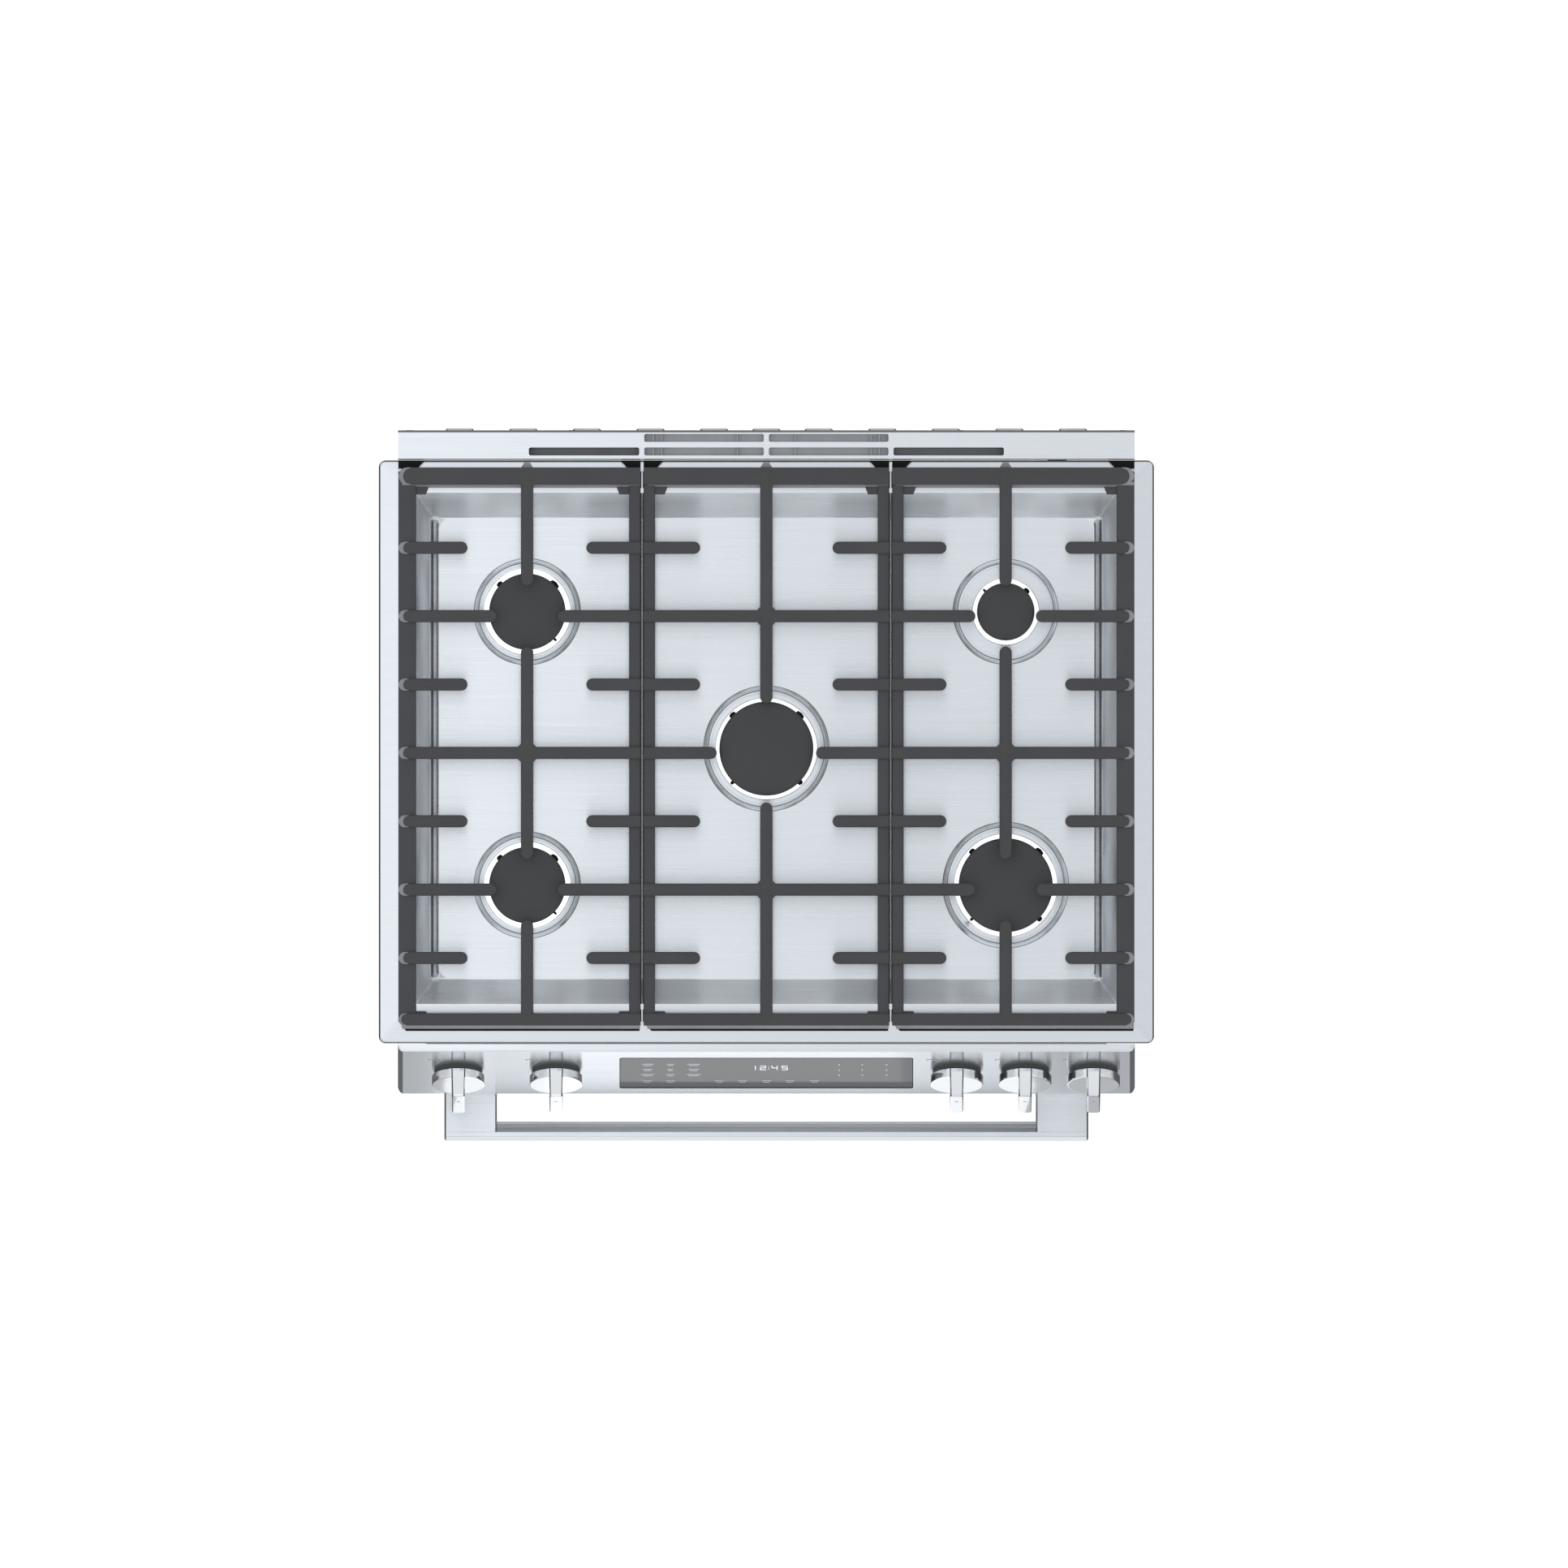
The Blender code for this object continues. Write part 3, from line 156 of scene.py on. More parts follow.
# ---------------------------------------------------------------- material nodes
def set_inputs(tree, node, **sockets):
    """Gives each input of a node its value, or a link where the value is another node's output."""
    for name, value in sockets.items():
        socket = node.inputs[name.replace("_", " ")]
        if isinstance(value, bpy.types.NodeSocket):
            tree.links.new(value, socket)
        else:
            socket.default_value = value


def add_node(tree, kind, **sockets):
    made = tree.nodes.new(f"ShaderNode{kind}")
    set_inputs(tree, made, **sockets)
    return made


def start_material(name, metallic, roughness, **sockets):
    """A material with values on its shader's own sockets. Returns it, its node tree and the shader."""
    made = bpy.data.materials.new(name)
    made.use_nodes = True
    tree = made.node_tree
    shader = tree.nodes["Principled BSDF"]
    set_inputs(tree, shader, Metallic=metallic, Roughness=roughness, **sockets)
    return made, tree, shader


def object_space(tree, stretch=(1, 1, 1)):
    place = add_node(tree, "TexCoord").outputs["Object"]
    return add_node(tree, "Mapping", Vector=place, Scale=stretch).outputs["Vector"]


def noise(tree, scale, stretch=(1, 1, 1), detail=3.0):
    space = object_space(tree, stretch)
    return add_node(tree, "TexNoise", Vector=space, Scale=scale, Detail=detail).outputs["Fac"]


def cells(tree, scale, output):
    """Small cells round scattered points: each one's own Color, or the Distance to its point."""
    return add_node(tree, "TexVoronoi", Vector=object_space(tree), Scale=scale).outputs[output]


def ranged(tree, value, low, high, start=0.3, end=0.7):
    made = add_node(tree, "MapRange", Value=value, From_Min=start, From_Max=end, To_Min=low, To_Max=high)
    return made.outputs["Result"]


def coloured(tree, value, first, second, start=0.3, end=0.7):
    made = add_node(tree, "ValToRGB", Fac=value)
    for element, position, colour in zip(made.color_ramp.elements, (start, end), (first, second)):
        element.position = position
        element.color = (*colour, 1)
    return made.outputs["Color"]


def finish(tree, shader, colour, roughness, skin, depth, strength):
    """Links a shader's colour and roughness, and a bump from the pattern of its skin."""
    normal = add_node(tree, "Bump", Height=skin, Distance=depth, Strength=strength).outputs["Normal"]
    set_inputs(tree, shader, Base_Color=colour, Roughness=roughness, Normal=normal)


STREAK_STRETCH = (2.4, 234, 234)
GRAIN_STRETCH = (12, 1300, 1300)


def brushed_metal(name, dark, light, rough, drawn=0.85):
    """Metal with a fine grain along X, which spreads reflections across the grain."""
    made, tree, shader = start_material(name, 1.0, rough[0], Anisotropic=drawn, Anisotropic_Rotation=0.25)
    along = add_node(tree, "CombineXYZ", X=1.0).outputs["Vector"]
    set_inputs(tree, shader, Tangent=along)
    streaks = noise(tree, 1.0, STREAK_STRETCH)
    grain = noise(tree, 1.0, GRAIN_STRETCH, detail=2)
    colour = coloured(tree, streaks, dark, light)
    finish(tree, shader, colour, ranged(tree, grain, *rough), grain, 0.00003, 0.15)
    return made


def mottled(name, dark, light, rough, metallic=0.0, scale=60, depth=0.0001, strength=0.3, **sockets):
    """A finish with soft blotches and a fine uneven skin, as on castings and paint."""
    made, tree, shader = start_material(name, metallic, rough[0], **sockets)
    blotches = noise(tree, scale * 0.25)
    skin = noise(tree, scale * 12)
    colour = coloured(tree, blotches, dark, light)
    finish(tree, shader, colour, ranged(tree, blotches, *rough), skin, depth, strength)
    return made


def galvanised(name, dark, light):
    """Zinc-coated sheet: small crystals, each its own grey."""
    made, tree, shader = start_material(name, 0.85, 0.42)
    crystals = cells(tree, 110, "Color")
    colour = coloured(tree, crystals, dark, light, 0.15, 0.85)
    finish(tree, shader, colour, ranged(tree, crystals, 0.38, 0.48), noise(tree, 400), 0.00002, 0.2)
    return made


def enamel(name, ground, fleck):
    """Glossy porcelain enamel with small pale flecks."""
    made, tree, shader = start_material(name, 0.0, 0.22, Coat_Weight=0.6, Coat_Roughness=0.08)
    colour = coloured(tree, cells(tree, 420, "Distance"), fleck, ground, 0.10, 0.16)
    roughness = ranged(tree, noise(tree, 30), 0.18, 0.28)
    finish(tree, shader, colour, roughness, noise(tree, 160), 0.00005, 0.3)
    return made


def tinted_glass(name, colour, roughness, transmission, **sockets):
    made, tree, shader = start_material(name, 0.0, roughness, Transmission_Weight=transmission, **sockets)
    tint = coloured(tree, noise(tree, 9), colour, [c * 1.06 for c in colour])
    set_inputs(tree, shader, Base_Color=tint)
    set_inputs(tree, shader, Roughness=ranged(tree, noise(tree, 40), roughness, roughness + 0.03))
    return made


STEEL = (0.835, 0.862, 0.892), (0.858, 0.884, 0.913)
CHROME = (0.88, 0.89, 0.905), (0.91, 0.92, 0.93)
IRON = (0.050, 0.050, 0.051), (0.063, 0.063, 0.064)
BLACK_ENAMEL = (0.044, 0.044, 0.045), (0.053, 0.053, 0.054)
ALUMINIUM = (0.93, 0.93, 0.93), (0.96, 0.96, 0.96)
ZINC = (0.52, 0.53, 0.52), (0.66, 0.67, 0.65)
PALE_DIGITS = (0.90, 0.92, 0.95), (0.97, 0.98, 1.0)
SLOTS = {
    "brushed_stainless": brushed_metal("brushed_stainless", *STEEL, (0.27, 0.31)),
    "satin_chrome": brushed_metal("satin_chrome", *CHROME, (0.07, 0.10), drawn=0.0),
    "cast_iron": mottled("cast_iron", *IRON, (0.55, 0.68), scale=90, depth=0.00025),
    "black_enamel": mottled("black_enamel", *BLACK_ENAMEL, (0.50, 0.62), scale=70),
    "burner_aluminium": mottled(
        "burner_aluminium", *ALUMINIUM, (0.08, 0.12), metallic=1.0, scale=80, strength=0.04
    ),
    "display_glass": tinted_glass(
        "display_glass", (0.010, 0.010, 0.011), 0.05, 0.0, Specular_IOR_Level=0.64
    ),
    "door_glass": tinted_glass("door_glass", (0.10, 0.10, 0.105), 0.02, 0.75),
    "oven_enamel": enamel("oven_enamel", (0.014, 0.015, 0.019), (0.20, 0.21, 0.24)),
    "galvanised_sheet": galvanised("galvanised_sheet", (0.70, 0.72, 0.74), (0.80, 0.82, 0.84)),
    "grey_paint": mottled(
        "grey_paint", (0.25, 0.26, 0.27), (0.28, 0.29, 0.30), (0.38, 0.46), scale=120, depth=0.00012
    ),
    "black_plastic": mottled(
        "black_plastic", (0.020, 0.020, 0.021), (0.028, 0.028, 0.029), (0.42, 0.55), scale=90
    ),
    "brass": brushed_metal("brass", (0.70, 0.52, 0.24), (0.80, 0.62, 0.32), (0.22, 0.34)),
    "zinc_steel": mottled("zinc_steel", *ZINC, (0.28, 0.40), metallic=1.0, scale=140, depth=0.00002),
}
PRINT = mottled("pale_print", (0.60, 0.61, 0.63), (0.68, 0.69, 0.71), (0.5, 0.6))
DIGITS = mottled(
    "digit_print", *PALE_DIGITS, (0.4, 0.5), Emission_Color=(0.9, 0.95, 1.0, 1), Emission_Strength=0.25
)
GREY_PRINT = mottled("grey_print", (0.32, 0.33, 0.35), (0.40, 0.41, 0.43), (0.5, 0.6))
BLACK_BORDER = tinted_glass("glass_border", (0.012, 0.012, 0.013), 0.06, 0.0)
BRAID = (0.055, 0.052, 0.050), (0.10, 0.095, 0.09)
GASKET = mottled("gasket_braid", *BRAID, (0.8, 0.95), scale=300, depth=0.0004, strength=0.8)
CERAMIC = mottled("ceramic", (0.80, 0.79, 0.76), (0.88, 0.87, 0.84), (0.30, 0.42), scale=120)
LAMP_GLASS = tinted_glass("lamp_glass", (0.90, 0.89, 0.84), 0.12, 0.9)
# Near-black for the rear vents: partly their own paint, partly painted shade on their tops
DARK_PAINT_AND_SHADE = mottled("dark_paint_and_painted_shade", (0.018, 0.018, 0.019), (0.026, 0.026, 0.027), (0.55, 0.68), scale=90)
DUCT_GREY = mottled("duct_grey", (0.42, 0.43, 0.44), (0.48, 0.49, 0.50), (0.45, 0.6), scale=120)
# A darker grey for the lower floor at each end of the vents: painted shade
PAINTED_DUCT_SHADE_GREYS = (0.16, 0.165, 0.175), (0.20, 0.205, 0.215)
DUCT_PAINTED_SHADE = mottled("duct_painted_shade", *PAINTED_DUCT_SHADE_GREYS, (0.45, 0.6), scale=120)
# Lighter iron that paints a highlight on the grates' sloping bar ends, draught faces and spine lugs
PAINTED_HIGHLIGHT_GREYS = (0.25, 0.25, 0.255), (0.31, 0.31, 0.315)
IRON_PAINTED_HIGHLIGHT = mottled("cast_iron_painted_highlight", *PAINTED_HIGHLIGHT_GREYS, (0.42, 0.55), scale=90, depth=0.0002)
# Near-black iron that paints shade: the notches in the burner heads, and the grates' feet and the shadow strip
# under their front members
PAINTED_SHADE_BLACKS = (0.005, 0.005, 0.005), (0.008, 0.008, 0.008)
IRON_PAINTED_SHADE = mottled("cast_iron_painted_shade", *PAINTED_SHADE_BLACKS, (0.60, 0.75), scale=90, Specular_IOR_Level=0.15)
PANEL_STEEL = brushed_metal("panel_stainless", *STEEL, (0.21, 0.25), drawn=0.95)
# Near-black grey for the knob collars, whose darkness is partly painted shade from the gap behind each cup, and
# for the strips that paint the shadow beside each grip
COLLAR_AND_SHADE_GREY = mottled("collar_grey_and_painted_shade", (0.045, 0.046, 0.048), (0.060, 0.061, 0.063), (0.40, 0.50), scale=90)
# Darker steel that paints shade: the cooktop's rim, its side beads, the edges of its seat rings, and the handle's
# inner face
SHADE_PAINTED_STEEL = brushed_metal("stainless_painted_shade", (0.40, 0.41, 0.43), (0.45, 0.46, 0.48), (0.24, 0.30))


# ---------------------------------------------------------------- shapes
def ring_of_points(points_2d, z):
    return [Vector((x, y, z)) for x, y in points_2d]


def rounded_rect(low_x, high_x, low_y, high_y, radius, z, steps=5):
    """Points round a rectangle with rounded corners, anticlockwise."""
    corners = [
        (high_x - radius, high_y - radius, 0),
        (low_x + radius, high_y - radius, 90),
        (low_x + radius, low_y + radius, 180),
        (high_x - radius, low_y + radius, 270),
    ]
    return [
        Vector((
            x + radius * math.cos(math.radians(start + 90 * i / steps)),
            y + radius * math.sin(math.radians(start + 90 * i / steps)),
            z,
        ))
        for x, y, start in corners
        for i in range(steps + 1)
    ]


def inset(rect, by):
    return rect[0] + by, rect[1] - by, rect[2] + by, rect[3] - by


def mirrored(near, far):
    """A stretch on the left of the middle, and the same one on the right."""
    return (-far, -near), (near, far)


def circle(radius, z, centre=(0, 0), steps=40):
    return [
        Vector((
            centre[0] + radius * math.cos(math.tau * i / steps),
            centre[1] + radius * math.sin(math.tau * i / steps),
            z,
        ))
        for i in range(steps)
    ]


def loft(bm, loops, close_first=True, close_last=True, loop_around=False):
    """Faces between loops of equal length. Returns the first and last loops' verts."""
    rows = [[bm.verts.new(p) for p in points] for points in loops]
    pairs = list(zip(rows, rows[1:]))
    if loop_around:
        pairs.append((rows[-1], rows[0]))
    for below, above in pairs:
        count = len(below)
        for i in range(count):
            j = (i + 1) % count
            bm.faces.new((below[i], below[j], above[j], above[i]))
    if close_first and not loop_around:
        bm.faces.new(reversed(rows[0]))
    if close_last and not loop_around:
        bm.faces.new(rows[-1])
    return rows[0], rows[-1]


def lathe(bm, profile, steps=40, centre=(0, 0), closed=False):
    """A turned shape from (radius, z) points. closed joins the last point to the first, for a ring."""
    loft(
        bm,
        [circle(r, z, centre, steps) for r, z in profile],
        close_first=not closed,
        close_last=not closed,
        loop_around=closed,
    )


def add_slab(bm, corners, low, high):
    """A flat piece with straight sides, between two heights."""
    loft(bm, [ring_of_points(corners, z) for z in (low, high)])


def add_block(bm, low, high, bevel=0.0008, segments=2):
    """A box between two corners, with all its edges rounded."""
    low, high = Vector(low), Vector(high)
    fresh = bmesh.new()
    stretch = Matrix.Diagonal((*(high - low), 1.0))
    bmesh.ops.create_cube(fresh, size=1.0, matrix=Matrix.Translation((low + high) / 2) @ stretch)
    if bevel:
        bmesh.ops.bevel(
            fresh, geom=fresh.edges[:], offset=bevel, segments=segments, profile=0.5, affect="EDGES"
        )
    pour(bm, fresh)


def add_rod(bm, start, end, radius, steps=16, chamfer=0.0):
    """A round bar between two points, with chamfered ends."""
    start, axis = Vector(start), Vector(end) - Vector(start)
    length, neck = axis.length, radius - chamfer
    profile = [(radius, 0), (radius, length)]
    if chamfer:
        profile = [(neck, 0), (radius, chamfer), (radius, length - chamfer), (neck, length)]
    turn = axis.to_track_quat("Z", "Y").to_matrix().to_4x4()
    add_turned(bm, profile, steps, Matrix.Translation(start) @ turn)


def add_turned(bm, profile, steps, place, closed=False):
    """A turned shape, moved to its place."""
    fresh = bmesh.new()
    lathe(fresh, profile, steps, closed=closed)
    pour(bm, fresh, place)


def pour(bm, fresh, place=None):
    """Moves everything from one bmesh into another."""
    if place:
        fresh.transform(place)
    made = {v: bm.verts.new(v.co) for v in fresh.verts}
    for face in fresh.faces:
        bm.faces.new([made[v] for v in face.verts])
    fresh.free()


def drawn_along(bm, profile, low_x, high_x):
    """A closed (y, z) profile drawn out along X."""
    loft(bm, [[Vector((x, y, z)) for y, z in profile] for x in (low_x, high_x)])


def turned(degrees, axis="Z"):
    return Matrix.Rotation(math.radians(degrees), 4, axis)


def add_piece(name, mesh, material, body, nodes, slot, smooth, place=None):
    """A mesh as a piece that rides on a body, and may stand for CAD nodes."""
    mesh.materials.clear()
    mesh.materials.append(material)
    mesh.shade_smooth()
    mesh.set_sharp_from_angle(angle=math.radians(smooth))
    obj = add_object(name, mesh)
    if place:
        obj.matrix_world = place
    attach(obj, body)
    if nodes:
        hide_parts(*nodes)
        slot = slot or SLOT_OF[nodes[0]]
    return obj


def show(name, bm, material, body, nodes=(), place=None, smooth=35, slot=None, outward=True):
    """Turns a bmesh into a piece."""
    if outward:
        bmesh.ops.recalc_face_normals(bm, faces=bm.faces)
    mesh = bpy.data.meshes.new(name)
    bm.to_mesh(mesh)
    bm.free()
    return add_piece(name, mesh, material, body, nodes, slot, smooth, place)


def show_fitting(name, bm, slot, body="chassis"):
    """A small piece in the finish of its slot."""
    show(name, bm, SLOTS[slot], body, slot=slot)


def even_normals(obj):
    weighted = obj.modifiers.new("even_normals", "WEIGHTED_NORMAL")
    weighted.keep_sharp = True
    return obj


def soften(obj, width, segments=3):
    """Rounds a piece's sharp edges."""
    bevel = obj.modifiers.new("soft_edges", "BEVEL")
    bevel.width = width
    bevel.segments = segments
    bevel.limit_method = "ANGLE"
    bevel.angle_limit = math.radians(35)
    return even_normals(obj)


def cut(obj, bm):
    """Cuts a bmesh's shapes out of a piece."""
    bmesh.ops.recalc_face_normals(bm, faces=bm.faces)
    mesh = bpy.data.meshes.new("cutter")
    bm.to_mesh(mesh)
    bm.free()
    tool = add_object("cutter", mesh)
    tool.matrix_world = obj.matrix_world.copy()
    modifier = obj.modifiers.new("cut", "BOOLEAN")
    modifier.operation = "DIFFERENCE"
    modifier.object = tool
    modifier.solver = "EXACT"
    modifier.use_self = True
    bpy.context.view_layer.update()
    graph = bpy.context.evaluated_depsgraph_get()
    result = bpy.data.meshes.new_from_object(obj.evaluated_get(graph))
    obj.modifiers.clear()
    obj.data = result
    obj.data.set_sharp_from_angle(angle=math.radians(35))
    bpy.data.objects.remove(tool)


def wire(name, runs, radius, material, body, nodes=(), slot=None, resolution=3, closed=False):
    """Round wires or pipes along runs of points, as one piece."""
    curve = bpy.data.curves.new(name, "CURVE")
    curve.dimensions = "3D"
    curve.bevel_depth = radius
    curve.bevel_resolution = resolution
    curve.use_fill_caps = True
    for points in runs:
        spline = curve.splines.new("POLY")
        spline.points.add(len(points) - 1)
        for point, co in zip(spline.points, points):
            point.co = (*co, 1.0)
        spline.use_cyclic_u = closed
    path = add_object("path", curve)
    graph = bpy.context.evaluated_depsgraph_get()
    mesh = bpy.data.meshes.new_from_object(path.evaluated_get(graph))
    bpy.data.objects.remove(path)
    mesh.name = name
    return add_piece(name, mesh, material, body, nodes, slot, 50)


def bent(corners, radius, steps=5):
    """The corners of a run, with each inner corner replaced by an arc."""
    corners = [Vector(c) for c in corners]
    points = [corners[0]]
    for before, corner, after in zip(corners, corners[1:], corners[2:]):
        into, out = (before - corner).normalized(), (after - corner).normalized()
        half = into.angle(out) / 2
        reach = radius / math.tan(half)
        centre = corner + (into + out).normalized() * radius / math.sin(half)
        first, last = corner + into * reach - centre, corner + out * reach - centre
        points += [centre + first.slerp(last, i / steps) * radius for i in range(steps + 1)]
    return points + [corners[-1]]


# ---------------------------------------------------------------- cooktop
BURNER_NAMES = ("left_rear", "left_front", "centre", "right_rear", "right_front")


def radius_of(node):
    low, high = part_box(node)
    return (high.x - low.x) / 2


BURNERS = {name: sum(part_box(f"burner_cap_{name}"), Vector()) / 2 for name in BURNER_NAMES}
CAP_RADIUS = {name: radius_of(f"burner_cap_{name}") for name in BURNER_NAMES}
HEAD_RADIUS = {name: radius_of(f"burner_head_{name}") for name in BURNER_NAMES}
SEAT_RADIUS = dict(zip(BURNER_NAMES, (0.0495, 0.0495, 0.0593, 0.0489, 0.0595)))
SEAT_RISE = 0.0020
THROAT = 0.0170
TRAY_FLOOR_Z = 0.8890
FACE_STEPS = 6
ROUND_STEPS = 72


def tray_loop(half_x, front, back, radius, side_z, end_z):
    """A rounded rectangle that runs at side_z along its sides and at end_z along its ends."""
    loop = rounded_rect(-half_x, half_x, front, back, radius, 0, FACE_STEPS)
    for i, point in enumerate(loop):
        corner, step = divmod(i, FACE_STEPS + 1)
        share = step / FACE_STEPS if corner % 2 == 0 else 1 - step / FACE_STEPS
        point.z = TRAY_FLOOR_Z + side_z + (end_z - side_z) * share
    return loop


# The pressing's edge, from underneath to the flange: inset, corner radius, depth under the flange
EDGE_STEPS = [
    (0.0030, 0.0045, 0.0030), (0.0006, 0.0064, 0.0029), (0.0, 0.0070, 0.0028), (0.0006, 0.0066, 0.0018),
    (0.0016, 0.0059, 0.0004), (0.0022, 0.0055, 0.0001), (0.0032, 0.0048, 0.0),
]
# The tray, from the flange to its floor: half width, front, back, corner radius, then the
# height over the floor along its sides and along its ends
TRAY_STEPS = [
    (0.3652, -0.2279, 0.3027, 0.0050, 0.03050, 0.03050),
    (0.3644, -0.2266, 0.3014, 0.0044, 0.03030, 0.03030),
    (0.3640, -0.2259, 0.3007, 0.0042, 0.02980, 0.02980),
    (0.3634, -0.2252, 0.3000, 0.0040, 0.02830, 0.02830),
    (0.3478, -0.2036, 0.2779, 0.0040, 0.01280, 0.00450),
    (0.3453, -0.2020, 0.2763, 0.0042, 0.00120, 0.00080),
    (0.3448, -0.2012, 0.2756, 0.0045, 0.00040, 0.00020),
    (0.3436, -0.2009, 0.2753, 0.0052, 0.00240, 0.00010),
    (0.3429, -0.2007, 0.2751, 0.0056, 0.00280, 0.00005),
    (0.3406, -0.2002, 0.2746, 0.0070, 0.00280, 0.00005),
    (0.3400, -0.2000, 0.2744, 0.0074, 0.00240, 0.0),
    (0.3385, -0.1993, 0.2738, 0.0086, 0.00020, 0.0),
    (0.3376, -0.1986, 0.2730, 0.0090, 0.0, 0.0),
]
# A burner's seat, inwards: how far past the seat's radius, and how high over the tray's floor
SEAT_STEPS = [
    (0.0059, 0.0), (0.0058, 0.0001), (0.0049, 0.0009), (0.0034, 0.0023), (0.0030, 0.0025),
    (0.0026, 0.0023), (0.0014, 0.0011), (0.0005, 0.0004), (0.0002, 0.0021), (-0.0002, 0.0024),
    (-0.0016, 0.0024), (-0.0020, 0.0018), (-0.0024, 0.0022),
]
RIM_LOW, RIM_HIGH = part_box("cooktop")
RIM_WIDTH = 0.0014


def gets_painted_shade(point):
    """Whether a place on the pressing gets painted shade: on its rim, on a bead or at the foot of a seat's ring.
    """
    across, along, height = abs(point.x), point.y, point.z - TRAY_FLOOR_Z
    inside = across < RIM_HIGH.x - RIM_WIDTH and RIM_LOW.y + RIM_WIDTH < along < RIM_HIGH.y - RIM_WIDTH
    if point.z < RIM_HIGH.z - 0.0003 and not inside:
        return True
    if 0.3382 < across < 0.3453 and -0.199 < along < 0.2735 and height < 0.0035:
        return True
    for name, centre in BURNERS.items():
        out = math.hypot(point.x - centre.x, point.y - centre.y) - SEAT_RADIUS[name]
        if 0.0050 < out < 0.0058 or 0.0005 < out < 0.0013:
            return height > 0.00005
    return False


def loop_edges(bm, loop):
    return [bm.edges.get((loop[i], loop[(i + 1) % len(loop)])) for i in range(len(loop))]


def add_seat(bm, name):
    """A burner's raised seat with its ring and throat. Returns its outer edges."""
    at = BURNERS[name].xy
    steps = [(SEAT_RADIUS[name] + out, rise) for out, rise in SEAT_STEPS] + [(THROAT, SEAT_RISE)]
    rings = [circle(radius, TRAY_FLOOR_Z + rise, at, ROUND_STEPS) for radius, rise in steps]
    outer, _ = loft(bm, rings, close_first=False, close_last=False)
    return loop_edges(bm, outer)


def make_cooktop():
    """The pressed top: a rolled edge, a flange, steep walls, a bead down each side, and five raised seats."""
    outline = (RIM_LOW.x, RIM_HIGH.x, RIM_LOW.y, RIM_HIGH.y)
    loops = [
        rounded_rect(*inset(outline, by), radius, RIM_HIGH.z - depth, FACE_STEPS)
        for by, radius, depth in EDGE_STEPS
    ]
    loops += [tray_loop(*step) for step in TRAY_STEPS]
    bm = bmesh.new()
    _, floor_rim = loft(bm, loops, close_first=False, close_last=False)
    edges = loop_edges(bm, floor_rim)
    for name in BURNER_NAMES:
        edges += add_seat(bm, name)
    bmesh.ops.triangle_fill(bm, use_beauty=True, use_dissolve=False, edges=edges, normal=(0, 0, 1))
    bmesh.ops.recalc_face_normals(bm, faces=bm.faces)
    floor_face = max(bm.faces, key=lambda f: f.calc_area() if abs(f.normal.z) > 0.99 else 0)
    if floor_face.normal.z < 0:
        bmesh.ops.reverse_faces(bm, faces=bm.faces)
    steel = SLOTS["brushed_stainless"]
    pressing = show("cooktop_pressing", bm, steel, "chassis", ["cooktop"], smooth=50, outward=False)
    # Rim, bead and seat-ring faces take the darker steel: painted shade.
    pressing.data.materials.append(SHADE_PAINTED_STEEL)
    for face in pressing.data.polygons:
        face.material_index = int(gets_painted_shade(face.center))
    sheet = pressing.modifiers.new("sheet", "SOLIDIFY")
    sheet.thickness = 0.0010
    sheet.offset = -1
    even_normals(pressing)


VENT_ROWS = ((0.3396, 0.3479), (0.3536, 0.3618))
VENT_SPANS = [(0.0026, 0.1260, row) for row in VENT_ROWS] + [(0.1312, 0.2451, VENT_ROWS[0])]
VENT_FLOOR_DEPTH = 0.0070


def make_vent_trim():
    """The channel behind the cooktop, with rounded slots over the oven's exhaust box."""
    low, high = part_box("vent_trim")
    profile = [
        (low.y, low.z), (high.y, low.z), (high.y, high.z - 0.0045), (high.y - 0.0019, high.z - 0.0004),
        (high.y - 0.0024, high.z), (low.y + 0.0017, high.z), (low.y + 0.0012, high.z - 0.0003),
        (low.y, high.z - 0.0032),
    ]
    bm = bmesh.new()
    drawn_along(bm, profile, low.x, high.x)
    trim = show("vent_trim_channel", bm, SLOTS["brushed_stainless"], "chassis", ["vent_trim"])
    tool = bmesh.new()
    wall = Vector((0.0012, 0.0034, 0.0018))
    add_block(tool, low + wall - Vector((0, 0, 0.02)), high - wall, bevel=0.0)
    for side in (-1, 1):
        for near, far, row in VENT_SPANS:
            ends = sorted((side * near, side * far))
            heights = (high.z - 0.006, high.z + 0.004)
            loft(tool, [rounded_rect(*ends, *row, 0.0018, z, steps=3) for z in heights])
    cut(trim, tool)
    even_normals(trim)
    make_exhaust_boxes(low.y + 0.002, high.y - 0.002, high.z - VENT_FLOOR_DEPTH)


def make_exhaust_boxes(front, back, floor):
    """The floor under the vents, with thin ribs, and a lower floor at each end painted darker as shade."""
    bm = bmesh.new()
    add_block(bm, (-0.1275, front, floor - 0.001), (0.1275, back, floor), 0.0004)
    for side in (-1, 1):
        for x in (0.0300, 0.1080, 0.1165):
            at = side * x
            add_block(bm, (at - 0.0005, front, floor), (at + 0.0005, back, floor + 0.0040), 0.0)
    show("exhaust_box", bm, DUCT_GREY, "chassis")
    bm = bmesh.new()
    for near, far in mirrored(0.1300, 0.2470):
        add_block(bm, (near, front, floor - 0.0030), (far, back, floor - 0.0020), 0.0004)
    show("exhaust_box_ends", bm, DUCT_PAINTED_SHADE, "chassis")


